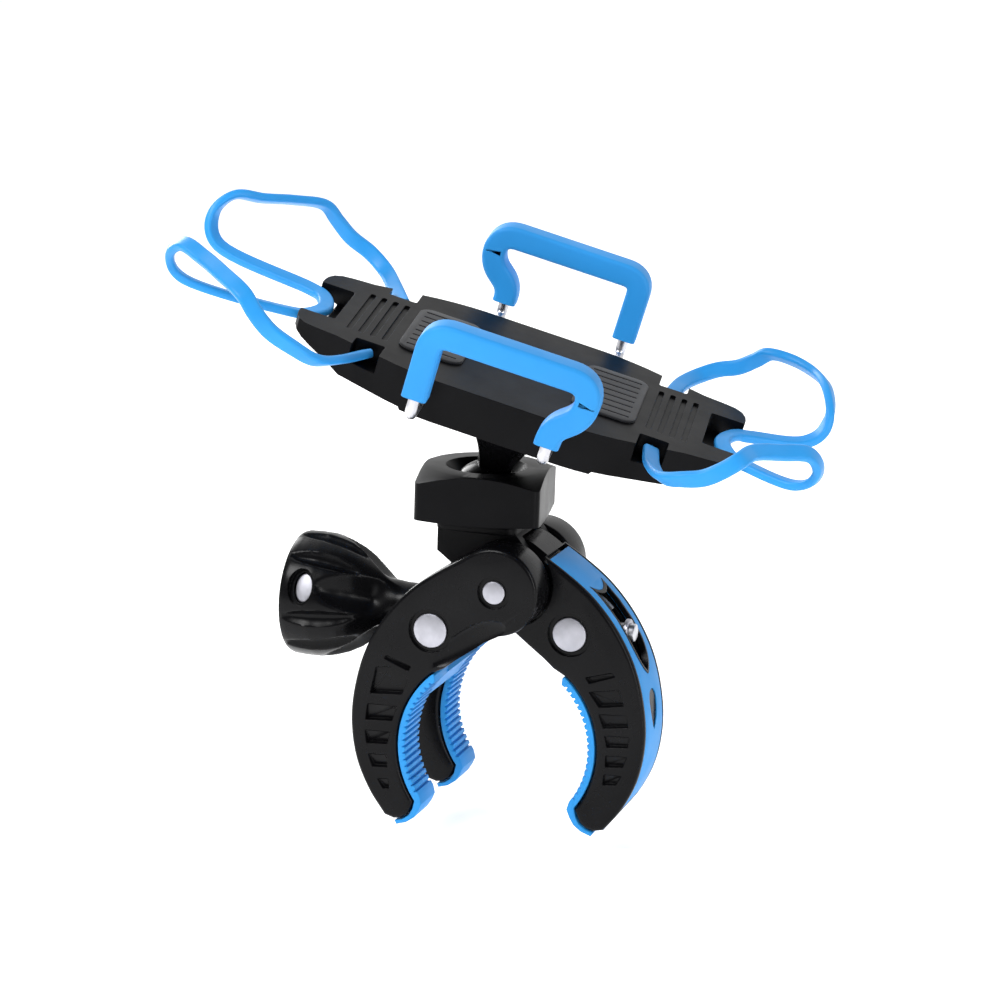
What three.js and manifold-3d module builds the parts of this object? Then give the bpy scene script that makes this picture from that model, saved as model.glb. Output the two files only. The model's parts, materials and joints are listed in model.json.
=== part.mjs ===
// Bicycle phone mount: spring cradle with wire arms, ball joint with lock nut, and a two-jaw bar clamp.
// Millimetres, +Z up. The origin is the middle of the handlebar that the clamp closes on.
// +Y runs along the bar, away from the rider's view of the hinge pin, and +X points to the single claw.

import * as THREE from 'three';
import { mergeVertices } from 'three/addons/utils/BufferGeometryUtils.js';
import Module from 'manifold-3d';

const wasm = await Module();
wasm.setup();

// ---- driving dimensions -------------------------------------------------
const GAP = 0.3;                       // clearance between touching pieces
const HINGE = { x: 0, z: 36 };         // hinge pin of the two jaws
const BARREL = { x: 14, z: -10 };      // barrel pins, from the hinge, one each side
const FORK_HALF = 18;                  // half width of the forked left jaw
const FORK_GAP = 8.5;                  // half gap between its prongs
const CLAW_HALF = 8;                   // half width of the right claw
const CHEEK_IN = 3.2;                  // half width of the claw's inner channel
const LUG_HALF = 5.4;                  // half width of the claw's hinge lug
const EAR_R = 9.6;                     // outer radius round the hinge
const HINGE_PIN_R = 2.5;
const BARREL_R = 3.75;
const SCREW_R = 2.45;
const PAD_CENTRE = { x: -1, z: -36 };  // centre of the grip arcs, from the hinge
const JAW_IN_R = 22;                   // inner radius of the jaw body
const PAD_R = 20;                      // contact radius of the grip pads
const BALL = { x: -8.5, y: 0, z: 53 }; // ball centre
const BALL_R = 7.5;
const NUT_SIDE = 27;
const NUT_LOW = -4.4;                  // nut faces, from the ball centre
const NUT_HIGH = 6.3;
const NUT_TURN = 10;                   // degrees
const CRADLE_SWIVEL = -18.9;           // degrees, cradle pose on the ball
const CRADLE_TILT = 17.8;
const CRADLE_SPIN = 28.9;
const REST_HEIGHT = 31.3;              // ball centre to the phone's back face
const BASE_LENGTH = 96;
const BASE_HALF_WIDTH = 24.5;          // at the middle; the sides are slightly barrelled
const BASE_TOP = -0.6;
const BASE_LOW = -9.6;
const PLATE_LOW = -10.2;
const ROD_R = 1.2;
const ROD_Z = -5;
const ROD_OUTER = 16.7;                // rods of one arm stand at -ROD_OUTER and +ROD_INNER
const ROD_INNER = 11.35;
const ARM_Y = 36.5;                    // middle of the arm's bar, for a 67 mm wide phone
const ARM_TOP = 14.3;
const COAT = { across: 5.5, deep: 5.2 };
const PHONE = { length: 138.1, width: 67, shift: -5.7, thick: 7.1 };
const BAND_R = 1.45;

const rad = THREE.MathUtils.degToRad;
const mirrorX = (points) => points.map(([x, z]) => [-x, z]);

// ---- materials ----------------------------------------------------------
const paint = (color, roughness, metalness = 0) =>
  new THREE.MeshStandardMaterial({ color, roughness, metalness });
const blackPlastic = paint(0x17171a, 0.35);
const satinBlack = paint(0x1c1c20, 0.5);
const blueRubber = paint(0x2f9fe6, 0.55);
const blueSilicone = paint(0x36a8ec, 0.6);
const steel = paint(0xc4c6ca, 0.3, 1);
const springSteel = paint(0x9a9da3, 0.35, 1);
const darkRubber = paint(0x202022, 0.85);

// ---- solids -------------------------------------------------------------
function toSolid(geometry) {
  const bare = geometry.clone();
  bare.deleteAttribute('normal');
  bare.deleteAttribute('uv');
  const merged = mergeVertices(bare, 1e-4);
  return new wasm.Manifold(new wasm.Mesh({
    numProp: 3,
    vertProperties: new Float32Array(merged.attributes.position.array),
    triVerts: new Uint32Array(merged.index.array),
  }));
}

function toGeometry(solid) {
  const data = solid.getMesh();
  const geometry = new THREE.BufferGeometry();
  geometry.setAttribute('position', new THREE.BufferAttribute(data.vertProperties, 3));
  geometry.setIndex(new THREE.BufferAttribute(data.triVerts, 1));
  const faceted = geometry.toNonIndexed();
  faceted.computeVertexNormals();
  return faceted;
}

const joined = (...parts) => parts.reduce((a, b) => a.add(b));
const cut = (body, ...tools) => tools.reduce((a, b) => a.subtract(b), body);

function shapeOf(points) {
  const shape = new THREE.Shape();
  points.forEach(([x, z], i) => (i ? shape.lineTo(x, z) : shape.moveTo(x, z)));
  shape.closePath();
  return shape;
}

// A slab of an XZ outline between two Y planes.
function slab(shape, low, high, bevel = 0) {
  const geometry = new THREE.ExtrudeGeometry(shape, {
    depth: high - low - 2 * bevel,
    curveSegments: 6,
    bevelEnabled: bevel > 0,
    bevelThickness: bevel,
    bevelSize: bevel,
    bevelOffset: -bevel,
    bevelSegments: 1,
  });
  geometry.rotateX(Math.PI / 2);
  geometry.translate(0, high - bevel, 0);
  return toSolid(geometry);
}

// A plate of an XY outline between two Z planes.
function plate(shape, low, high) {
  const options = { depth: high - low, bevelEnabled: false, curveSegments: 5 };
  const geometry = new THREE.ExtrudeGeometry(shape, options);
  geometry.translate(0, 0, low);
  return toSolid(geometry);
}

function box(x0, x1, y0, y1, z0, z1) {
  const geometry = new THREE.BoxGeometry(x1 - x0, y1 - y0, z1 - z0);
  geometry.translate((x0 + x1) / 2, (y0 + y1) / 2, (z0 + z1) / 2);
  return toSolid(geometry);
}

function rodY(x, z, radius, low, high, sides = 24) {
  const geometry = new THREE.CylinderGeometry(radius, radius, high - low, sides);
  geometry.translate(x, (low + high) / 2, z);
  return toSolid(geometry);
}

function rodX(y, z, radius, low, high, sides = 20) {
  const geometry = new THREE.CylinderGeometry(radius, radius, high - low, sides);
  geometry.rotateZ(Math.PI / 2);
  geometry.translate((low + high) / 2, y, z);
  return toSolid(geometry);
}

function rodZ(x, y, radius, low, high, sides = 24) {
  const geometry = new THREE.CylinderGeometry(radius, radius, high - low, sides);
  geometry.rotateX(Math.PI / 2);
  geometry.translate(x, y, (low + high) / 2);
  return toSolid(geometry);
}

// A body turned about Z from [radius, height] points that start and end on the axis.
function turned(profile, sides = 32) {
  const geometry = new THREE.LatheGeometry(profile.map(([r, h]) => new THREE.Vector2(r, h)), sides);
  geometry.rotateX(Math.PI / 2);
  const solid = toSolid(geometry);
  return solid.volume() < 0 ? toSolid(flipped(geometry)) : solid;
}

function flipped(geometry) {
  const copy = geometry.clone();
  const index = copy.index.array;
  for (let i = 0; i < index.length; i += 3) [index[i], index[i + 1]] = [index[i + 1], index[i]];
  return copy;
}

function sphere(radius, x = 0, y = 0, z = 0, sides = 26) {
  const geometry = new THREE.SphereGeometry(radius, sides, sides / 2);
  geometry.translate(x, y, z);
  return toSolid(geometry);
}

// A section swept along a curve.
function swept(section, curve, steps) {
  const options = { steps, extrudePath: curve, bevelEnabled: false, curveSegments: 3 };
  return toSolid(new THREE.ExtrudeGeometry(section, options));
}

function circle(radius, sides) {
  return shapeOf(Array.from({ length: sides }, (_, i) => {
    const a = (i / sides) * 2 * Math.PI;
    return [radius * Math.cos(a), radius * Math.sin(a)];
  }));
}

// Straight runs with rounded corners: each inner point carries its corner radius.
function bentPath(points) {
  const path = new THREE.CurvePath();
  let from = new THREE.Vector3(...points[0]);
  for (let i = 1; i < points.length; i += 1) {
    const corner = new THREE.Vector3(...points[i]);
    const radius = points[i][3] ?? 0;
    if (i === points.length - 1) {
      path.add(new THREE.LineCurve3(from, corner));
      break;
    }
    const next = new THREE.Vector3(...points[i + 1]);
    const inward = corner.clone().sub(from).normalize();
    const outward = next.clone().sub(corner).normalize();
    const start = corner.clone().addScaledVector(inward, -radius);
    const end = corner.clone().addScaledVector(outward, radius);
    path.add(new THREE.LineCurve3(from, start));
    path.add(new THREE.QuadraticBezierCurve3(start, corner, end));
    from = end;
  }
  return path;
}

const group = new THREE.Group();

function addMesh(parent, name, solid, material) {
  const mesh = new THREE.Mesh(toGeometry(solid), material);
  mesh.name = name;
  parent.add(mesh);
  return mesh;
}

function addGroup(parent, x = 0, y = 0, z = 0) {
  const child = new THREE.Group();
  child.position.set(x, y, z);
  parent.add(child);
  return child;
}

// ---- jaws ---------------------------------------------------------------
const clamp = addGroup(group, HINGE.x, 0, HINGE.z);

const arcPoint = (radius, degrees) => [
  PAD_CENTRE.x + radius * Math.cos(rad(degrees)),
  PAD_CENTRE.z + radius * Math.sin(rad(degrees)),
];
const arc = (radius, from, to, count) =>
  Array.from({ length: count + 1 }, (_, i) => arcPoint(radius, from + ((to - from) * i) / count));

// Back of a jaw from the hinge ear down to the tip, offset inward.
function jawBack(offset, count, from = 0, to = 1) {
  const knots = [[6.2, 7.3], [12.8, 3.2], [18.6, -1.2], [24.2, -7.6], [28.6, -15.5], [31.0, -24.0], [31.7, -32.0],
    [30.4, -40.5], [27.2, -47.6], [23.4, -52.8]];
  const curve = new THREE.SplineCurve(knots.map(([x, z]) => new THREE.Vector2(x, z)));
  return Array.from({ length: count + 1 }, (_, i) => {
    const t = from + ((to - from) * i) / count;
    const point = curve.getPoint(t);
    const tangent = curve.getTangent(t);
    return [point.x + tangent.y * offset, point.y - tangent.x * offset];
  });
}

function jawOutline() {
  const ear = Array.from({ length: 10 }, (_, i) => {
    const a = rad(262 - (i * (262 - 52)) / 9);
    return [EAR_R * Math.cos(a), EAR_R * Math.sin(a)];
  });
  const back = jawBack(0, 18).slice(1);
  const tip = [[21.2, -53.4], [18.0, -51.9], [17.3, -50.4]];
  const inside = arc(JAW_IN_R, -36, 48, 9);
  const throat = [[10.6, -18.0], [6.3, -14.6], [2.0, -11.4]];
  return [...ear, ...back, ...tip, ...inside, ...throat];
}

function padOutline() {
  const contact = arc(PAD_R, 49, -36, 10);
  const toe = [[14.8, -49.2], [16.6, -52.6], [20.6, -54.6], [21.0, -53.7], [17.8, -52.2], [17.0, -50.6]];
  const back = arc(JAW_IN_R - GAP, -36, 49, 10);
  return [...contact, ...toe, ...back];
}

const ringRecess = (x, z, radius, face, side) =>
  rodY(x, z, radius + 1.1, side > 0 ? face - 0.8 : -face - 1, side > 0 ? face + 1 : -face + 0.8);

function leftJaw() {
  const outline = shapeOf(mirrorX(jawOutline()));
  const prongs = joined(slab(outline, -FORK_HALF, -FORK_GAP, 0.8), slab(outline, FORK_GAP, FORK_HALF, 0.8));
  const webArea = shapeOf(mirrorX([[11.5, -17.3], [22, -17.3], [27, -20.8], [31.5, -26], [20.5, -26],
    [14, -20]]));
  const web = slab(webArea, -FORK_GAP - 1.2, FORK_GAP + 1.2).intersect(slab(outline, -FORK_HALF, FORK_HALF));
  const bores = [
    rodY(0, 0, HINGE_PIN_R + 0.06, -20, 20),
    rodY(-BARREL.x, BARREL.z, BARREL_R + 0.08, -20, 20),
  ];
  const rings = [-1, 1].flatMap((side) => [
    ringRecess(0, 0, HINGE_PIN_R, FORK_HALF, side),
    ringRecess(-BARREL.x, BARREL.z, BARREL_R, FORK_HALF, side),
  ]);
  return cut(joined(prongs, web), ...bores, ...rings);
}

// The claw's channel holds the spring, the screw end and lets both through the back.
const channelOutline = [
  [-13, -25], [8.5, -25], [11.8, -17], [20.5, -17], [27.5, -19.5], [36, -16], [36, 3.2], [19.2, 3.2],
  [16.2, -1.8], [5.3, 5.3],
  ...Array.from({ length: 8 }, (_, i) => [7.5 * Math.cos(rad(60 + i * 17)), 7.5 * Math.sin(rad(60 + i * 17))]),
  [-13, 0],
];

const TRIM_HALF = 6.5;
const TRIM_THICK = 1.4;
const TRIM_START = 0.04;
const TRIM_END = 0.89;

function trimOutline(outer, inner) {
  const outside = jawBack(outer, 15, TRIM_START, TRIM_END);
  const inside = jawBack(inner, 15, TRIM_START, TRIM_END).reverse();
  return [...outside, ...inside];
}

function rightJaw() {
  const outline = shapeOf(jawOutline());
  const body = slab(outline, -CLAW_HALF, CLAW_HALF, 0.8);
  const channel = slab(shapeOf(channelOutline), -CHEEK_IN, CHEEK_IN);
  const lugRelief = (side) => rodY(0, 0, EAR_R + 0.4, side * (CLAW_HALF + LUG_HALF) / 2 - 1.3,
    side * (CLAW_HALF + LUG_HALF) / 2 + 1.3, 36);
  const trimSeat = slab(shapeOf(trimOutline(-3, TRIM_THICK + GAP)), -TRIM_HALF - 0.2, TRIM_HALF + 0.2);
  const rings = [-1, 1].map((side) => ringRecess(BARREL.x, BARREL.z, BARREL_R, CLAW_HALF, side));
  return cut(
    body, channel, lugRelief(-1), lugRelief(1), trimSeat, ...rings,
    rodY(0, 0, HINGE_PIN_R + 0.06, -20, 20),
    rodY(BARREL.x, BARREL.z, BARREL_R + 0.08, -20, 20),
  );
}

// Blue strip let into the claw's back, with the long window and the drop-shaped one below it.
function trimStrip() {
  const strip = slab(shapeOf(trimOutline(0, TRIM_THICK)), -TRIM_HALF, TRIM_HALF);
  const windowShape = new THREE.Shape();
  windowShape.moveTo(-4.1, 0.2);
  windowShape.quadraticCurveTo(0, -2.8, 4.1, 0.2);
  windowShape.lineTo(4.1, -11.5);
  windowShape.quadraticCurveTo(3.6, -16.4, 0.2, -18.6);
  windowShape.quadraticCurveTo(-3.6, -16.4, -4.1, -11.5);
  windowShape.closePath();
  const window = new THREE.ExtrudeGeometry(windowShape, { depth: 30, bevelEnabled: false, curveSegments: 8 });
  window.rotateX(Math.PI / 2).rotateZ(Math.PI / 2).translate(8, 0, 0);
  const drop = new THREE.Shape();
  drop.absarc(0, -24.6, 2.6, 0, Math.PI, false);
  drop.quadraticCurveTo(-2.4, -28, 0, -31.0);
  drop.quadraticCurveTo(2.4, -28, 2.6, -24.6);
  const dropTool = new THREE.ExtrudeGeometry(drop, { depth: 30, bevelEnabled: false, curveSegments: 8 });
  dropTool.rotateX(Math.PI / 2).rotateZ(Math.PI / 2).translate(8, 0, 0);
  return cut(strip, toSolid(window), toSolid(dropTool));
}

function leftPad() {
  const outline = shapeOf(mirrorX(padOutline()));
  const whole = slab(outline, -FORK_HALF + 0.4, FORK_HALF - 0.4);
  const between = box(-30, 0, -FORK_GAP - 0.4, FORK_GAP + 0.4, -60, -26.6);
  return cut(whole, between);
}

addMesh(clamp, 'jaw_left', leftJaw(), blackPlastic);
addMesh(clamp, 'pad_left', leftPad(), blueRubber);
addMesh(clamp, 'jaw_right', rightJaw(), blackPlastic);
addMesh(clamp, 'pad_right', slab(shapeOf(padOutline()), -CLAW_HALF + 0.4, CLAW_HALF - 0.4), blueRubber);
addMesh(clamp, 'trim_strip', trimStrip(), blueRubber);
addMesh(clamp, 'hinge_pin', rodY(0, 0, HINGE_PIN_R, -FORK_HALF + 0.1, FORK_HALF - 0.1), steel);

// ---- screw, knob and barrels -------------------------------------------
const SCREW_Z = BARREL.z;

function barrel(x, half) {
  const screwHole = rodX(0, SCREW_Z, SCREW_R + 0.2, x - 6, x + 6);
  return cut(rodY(x, SCREW_Z, BARREL_R, -half + 0.1, half - 0.1), screwHole);
}
addMesh(clamp, 'barrel_left', barrel(-BARREL.x, FORK_HALF), steel);
addMesh(clamp, 'barrel_right', barrel(BARREL.x, CLAW_HALF), steel);

const endRing = cut(rodX(0, SCREW_Z, 2.85, 22.6, 23.7), rodX(0, SCREW_Z, 2.05, 20, 26));
addMesh(clamp, 'screw_end_ring', endRing, steel);
const thrustWasher = cut(rodX(0, SCREW_Z, 5, -19.2, -18.2), rodX(0, SCREW_Z, SCREW_R + 0.2, -22, -16));
addMesh(clamp, 'thrust_washer', thrustWasher, steel);

// Bell-shaped knob: [radius, distance to the left of the hinge].
const KNOB_PROFILE = [[0, 52], [12.2, 51.6], [13.6, 51], [13.9, 50], [13.9, 46.5], [13.6, 43], [12.6, 39.4],
  [10.9, 36.2], [8.7, 33.2], [7, 30.9], [5.8, 28.8], [5, 27.2], [5, 19.5], [0, 19.5]];
const KNOB_TURN = -20;
const SHAFT_END = -43.2;
const SLUG_X = -46.2;

const FLUTE_ANGLES = [30, 60, 120, 150, 210, 240, 300, 330];
const HOLLOW_ANGLES = [0, 90, 180, 270];

// Ellipsoid that cuts a flute or a hollow: half sizes, lean, and its place by radius and distance.
function knobTool(halfSizes, lean, [radius, distance], angle) {
  const geometry = new THREE.SphereGeometry(1, 10, 7);
  geometry.scale(...halfSizes);
  geometry.rotateY(rad(lean));
  geometry.translate(radius, 0, distance);
  geometry.rotateZ(rad(angle));
  return toSolid(geometry);
}

const screwShaft = joined(rodX(0, SCREW_Z, SCREW_R, SHAFT_END, 22.4), rodX(0, SCREW_Z, 1.95, 22, 24.4));
addMesh(clamp, 'clamp_screw', screwShaft, steel);

function knob() {
  const bell = turned(KNOB_PROFILE, 32);
  const flutes = FLUTE_ANGLES.map((angle) => knobTool([1.9, 1.7, 7.6], -5, [14.2, 42.6], angle));
  const hollows = HOLLOW_ANGLES.map((angle) => knobTool([4.6, 4.8, 11.5], -18, [14.2, 32.8], angle));
  const shaped = cut(bell, ...flutes, ...hollows).rotate([0, -90, 0]).rotate([KNOB_TURN, 0, 0])
    .translate([0, 0, SCREW_Z]);
  const pinHole = pinSlug(2.25, 3.55, 20);
  return cut(shaped, rodX(0, SCREW_Z, SCREW_R + 0.05, SHAFT_END - 0.2, -10), pinHole);
}

function pinSlug(halfX, halfZ, half) {
  const geometry = new THREE.CylinderGeometry(1, 1, 2 * half, 24);
  geometry.scale(halfX, 1, halfZ);
  geometry.rotateX(rad(KNOB_TURN));
  geometry.translate(SLUG_X, 0, SCREW_Z);
  return toSolid(geometry);
}
addMesh(clamp, 'knob', knob(), blackPlastic);
addMesh(clamp, 'knob_pin', pinSlug(2.05, 3.3, 11.4), steel);

// ---- torsion spring -----------------------------------------------------
class Helix extends THREE.Curve {
  constructor(radius, pitch, turns, start) {
    super();
    Object.assign(this, { radius, pitch, turns, start });
  }

  getPoint(t, target = new THREE.Vector3()) {
    const a = this.start + t * this.turns * 2 * Math.PI;
    const along = (t - 0.5) * this.pitch * this.turns;
    return target.set(this.radius * Math.cos(a), along, this.radius * Math.sin(a));
  }
}

const WIRE_R = 0.55;
addMesh(clamp, 'torsion_spring', swept(circle(WIRE_R, 6), new Helix(4.2, 1.35, 3.2, 0.6), 45), springSteel);
const legRight = bentPath([[6.0, 0.6, 1.2], [12.4, 2.4, -2.2, 2], [17.6, 2.5, -3.4, 2], [20.4, 2.5, -6.0]]);
addMesh(clamp, 'spring_leg_right', swept(circle(WIRE_R, 6), legRight, 14), springSteel);
const legLeft = bentPath([[-10.2, -1.2, 1.2], [-12.6, -1.2, -1.6, 1.5], [-15.4, -1.2, -4.9]]);
addMesh(clamp, 'spring_leg_left', swept(circle(WIRE_R, 6), legLeft, 10), springSteel);

// ---- socket block -------------------------------------------------------
function roundedRect(x0, x1, y0, y1, r) {
  const shape = new THREE.Shape();
  shape.moveTo(x0 + r, y0);
  shape.lineTo(x1 - r, y0);
  shape.absarc(x1 - r, y0 + r, r, -Math.PI / 2, 0, false);
  shape.lineTo(x1, y1 - r);
  shape.absarc(x1 - r, y1 - r, r, 0, Math.PI / 2, false);
  shape.lineTo(x0 + r, y1);
  shape.absarc(x0 + r, y1 - r, r, Math.PI / 2, Math.PI, false);
  shape.lineTo(x0, y0 + r);
  shape.absarc(x0 + r, y0 + r, r, Math.PI, 1.5 * Math.PI, false);
  return shape;
}

const BALL_UP = BALL.z - HINGE.z;

function socketBlock() {
  const top = plate(roundedRect(BALL.x - 8.4, BALL.x + 9.8, -9.4, 9.4, 2.5), 10.2, BALL_UP + NUT_LOW - GAP);
  const neckShape = shapeOf([[-16.4, 11], [-16.4, 5.4], [-11.5, 1.8], [-7.4, -2.2], [0, -7.6], [6.5, -4],
    [7.4, 1.5], [4.4, 7], [1.0, 11]]);
  const neck = slab(neckShape, -8.2, 8.2);
  const hingeRound = rodY(0, 0, 7.8, -8.2, 8.2, 28);
  const collar = rodZ(BALL.x, 0, 9.2, 10.4, BALL_UP + 1.2, 36);
  const lugSlot = rodY(0, 0, EAR_R + 0.5, -LUG_HALF - GAP, LUG_HALF + GAP, 32);
  const belowNeck = box(-30, 30, -LUG_HALF - GAP, LUG_HALF + GAP, -30, 3);
  const cup = sphere(BALL_R + 1.1, BALL.x, 0, BALL_UP, 22);
  const mouth = rodZ(BALL.x, 0, 7.9, BALL_UP, BALL_UP + 4, 28);
  const bore = rodY(0, 0, HINGE_PIN_R + 0.06, -20, 20);
  return cut(joined(top, neck, hingeRound, collar), lugSlot, belowNeck, cup, mouth, bore);
}
addMesh(clamp, 'socket_block', socketBlock(), satinBlack);

// ---- ball joint ---------------------------------------------------------
const ballSpot = addGroup(group, BALL.x, BALL.y, BALL.z);

function lockNut() {
  const half = NUT_SIDE / 2;
  const square = plate(roundedRect(-half, half, -half, half, 1.6), NUT_LOW, NUT_HIGH);
  const turnedForm = turned([[0, NUT_LOW], [half - 0.2, NUT_LOW], [18.4, NUT_LOW + 0.6], [18.4, NUT_HIGH - 2.1],
    [half - 0.4, NUT_HIGH], [0, NUT_HIGH]], 48);
  const opening = turned([[0, NUT_LOW - 1], [9.6, NUT_LOW - 1], [9.6, 1.9], [7.75, 2.2], [7.25, 3.3], [7.25, 3.9],
    [8.9, NUT_HIGH + 0.2], [0, NUT_HIGH + 0.2]], 36);
  return cut(square.intersect(turnedForm), opening);
}
const nutMesh = addMesh(ballSpot, 'lock_nut', lockNut(), blackPlastic);
nutMesh.rotation.z = rad(NUT_TURN);

// Friction cup between ball and block.
function ballSeat() {
  const inner = BALL_R + 0.12;
  const outer = BALL_R + 0.92;
  const ring = (radius, from, to) => Array.from({ length: 6 }, (_, i) => {
    const a = rad(from + ((to - from) * i) / 5);
    return [radius * Math.cos(a), radius * Math.sin(a)];
  });
  const profile = [...ring(outer, -62, -8), ...ring(inner, -8, -62)];
  profile.push(profile[0]);
  return turned(profile, 28);
}
addMesh(ballSpot, 'ball_seat', ballSeat(), darkRubber);

const swivel = addGroup(ballSpot);
swivel.rotation.z = rad(CRADLE_SWIVEL);
const tilt = addGroup(swivel);
tilt.rotation.y = rad(CRADLE_TILT);

// Ball with an eight-sided neck that widens to a flange under the cradle.
const STUD_TOP = REST_HEIGHT + PLATE_LOW - GAP;
function ballStud() {
  const neck = turned([[0, 2], [3.7, 6.2], [4.3, 8.3], [5.6, 11.2], [7.4, 14.2], [9.2, 18.2], [9.6, STUD_TOP],
    [0, STUD_TOP]], 8);
  const boss = rodZ(0, 0, 4, STUD_TOP - 1, REST_HEIGHT - 7.5);
  const screwHole = rodZ(0, 0, 1.45, STUD_TOP - 6, REST_HEIGHT, 12);
  return cut(joined(sphere(BALL_R), neck, boss), screwHole);
}
addMesh(tilt, 'ball_stud', ballStud(), blackPlastic);
const studWasher = cut(rodZ(0, 0, 5.8, REST_HEIGHT - 7.2, REST_HEIGHT - 6.4), rodZ(0, 0, 1.6, 20, 30, 12));
addMesh(tilt, 'stud_washer', studWasher, steel);
const studScrew = joined(rodZ(0, 0, 1.35, STUD_TOP - 5, REST_HEIGHT - 5.9, 12),
  rodZ(0, 0, 2.9, REST_HEIGHT - 6.1, REST_HEIGHT - 4.6, 20));
addMesh(tilt, 'stud_screw', studScrew, steel);

// ---- cradle -------------------------------------------------------------
const cradle = addGroup(tilt, 0, 0, REST_HEIGHT);
cradle.rotation.z = rad(CRADLE_SPIN);

function baseOutline() {
  const half = BASE_LENGTH / 2;
  const shape = new THREE.Shape();
  shape.moveTo(-half + 5, -17.5);
  shape.quadraticCurveTo(-24, -22.8, -14, -BASE_HALF_WIDTH);
  shape.lineTo(14, -BASE_HALF_WIDTH);
  shape.quadraticCurveTo(24, -22.8, half - 5, -17.5);
  shape.quadraticCurveTo(half, -16.5, half, -11.5);
  shape.lineTo(half, 11.5);
  shape.quadraticCurveTo(half, 16.5, half - 5, 17.5);
  shape.quadraticCurveTo(24, 22.8, 14, BASE_HALF_WIDTH);
  shape.lineTo(-14, BASE_HALF_WIDTH);
  shape.quadraticCurveTo(-24, 22.8, -half + 5, 17.5);
  shape.quadraticCurveTo(-half, 16.5, -half, 11.5);
  shape.lineTo(-half, -11.5);
  shape.quadraticCurveTo(-half, -16.5, -half + 5, -17.5);
  return shape;
}

const PLATE_X = 20.5;
const PLATE_Y = 20;
const BASE_SCREWS = [[-5.4, -15.5], [5.4, -15.5], [-5.4, 15.5], [5.4, 15.5]];
const SIDE_NOTCH = { x: 31, wide: 6.4, low: -4.6 };
const END_NOTCH = { y: 9.4, low: -4.6, deep: 7.5 };

function cradleBase() {
  const sideShape = shapeOf([[-48, BASE_TOP], [48, BASE_TOP], [48, -2.6], [35.5, -8.4], [21, -9.0], [20.6, BASE_LOW],
    [-20.6, BASE_LOW], [-21, -9.0], [-35.5, -8.4], [-48, -2.6]]);
  const body = plate(baseOutline(), -12, 2).intersect(slab(sideShape, -30, 30));
  const chamber = (side) => box(side > 0 ? 8.2 : -20, side > 0 ? 20 : -8.2, -21.2, 21.2, -7.9, -2.4);
  const seatX = PLATE_X + 0.15;
  const seatY = PLATE_Y + 0.15;
  const plateSeat = plate(roundedRect(-seatX, seatX, -seatY, seatY, 2.1), -12, -7.8);
  const centre = rodZ(0, 0, 6.6, -8.5, -3.2, 28);
  const chamberFloor = (side) => box(side > 0 ? 8.2 : -20, side > 0 ? 20 : -8.2, -19.8, 19.8, -9, -7.5);
  const rods = [-1, 1].flatMap((side) => [ROD_OUTER, -ROD_INNER].map((x) =>
    rodY(side * x, ROD_Z, ROD_R + 0.15, side > 0 ? 18 : -30, side > 0 ? 30 : -18, 12)));
  const pilots = BASE_SCREWS.map(([x, y]) => rodZ(x, y, 1.1, -8.5, -3.4, 10));
  const sideNotches = [-1, 1].flatMap((sx) => [-1, 1].map((sy) => box(
    sx * SIDE_NOTCH.x - SIDE_NOTCH.wide / 2, sx * SIDE_NOTCH.x + SIDE_NOTCH.wide / 2,
    sy > 0 ? 15.5 : -26, sy > 0 ? 26 : -15.5, SIDE_NOTCH.low, 2)));
  const endNotches = [-1, 1].map((sx) => box(sx > 0 ? 48 - END_NOTCH.deep : -50, sx > 0 ? 50 : -48 + END_NOTCH.deep,
    -END_NOTCH.y, END_NOTCH.y, END_NOTCH.low, 2));
  return cut(body, chamber(-1), chamber(1), chamberFloor(-1), chamberFloor(1), plateSeat, centre, ...rods,
    ...pilots, ...sideNotches, ...endNotches);
}
addMesh(cradle, 'cradle_base', cradleBase(), blackPlastic);

function bottomPlate() {
  const panel = plate(roundedRect(-PLATE_X, PLATE_X, -PLATE_Y, PLATE_Y, 2), PLATE_LOW, -8.0);
  const heads = BASE_SCREWS.map(([x, y]) => rodZ(x, y, 2.35, PLATE_LOW - 1, PLATE_LOW + 0.9, 14));
  const shanks = BASE_SCREWS.map(([x, y]) => rodZ(x, y, 1.3, -12, -6, 10));
  return cut(panel, rodZ(0, 0, 4.15, -12, -6, 28), ...heads, ...shanks);
}
addMesh(cradle, 'cradle_bottom_plate', bottomPlate(), satinBlack);
BASE_SCREWS.forEach(([x, y], i) => {
  const head = rodZ(x, y, 2.15, PLATE_LOW + 0.05, PLATE_LOW + 0.85, 14);
  const screw = joined(head, rodZ(x, y, 0.95, PLATE_LOW + 0.4, -3.8, 10));
  addMesh(cradle, `base_screw_${i + 1}`, screw, steel);
});
const facePad = plate(roundedRect(12, 26, -13, 13, 3), BASE_TOP + 0.02, 0);
addMesh(cradle, 'face_pad_right', facePad, darkRubber);
addMesh(cradle, 'face_pad_left', facePad.mirror([1, 0, 0]), darkRubber);

// ---- arms ---------------------------------------------------------------
const ROD_END = 10;
const WIRE_STEPS = 62;
const LEG_LOW = { outer: -0.3, inner: 0.7 };

function wirePath() {
  return bentPath([
    [-ROD_OUTER, ROD_END, ROD_Z],
    [-ROD_OUTER, -ARM_Y, ROD_Z, 2.6],
    [-ROD_OUTER, -ARM_Y, ARM_TOP, 4],
    [ROD_OUTER, -ARM_Y, ARM_TOP, 4.6],
    [ROD_OUTER, -ARM_Y, 7.2, 3],
    [ROD_INNER, -ARM_Y, 2.6, 2.6],
    [ROD_INNER, -ARM_Y, ROD_Z, 2.6],
    [ROD_INNER, ROD_END, ROD_Z],
  ]);
}

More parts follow.
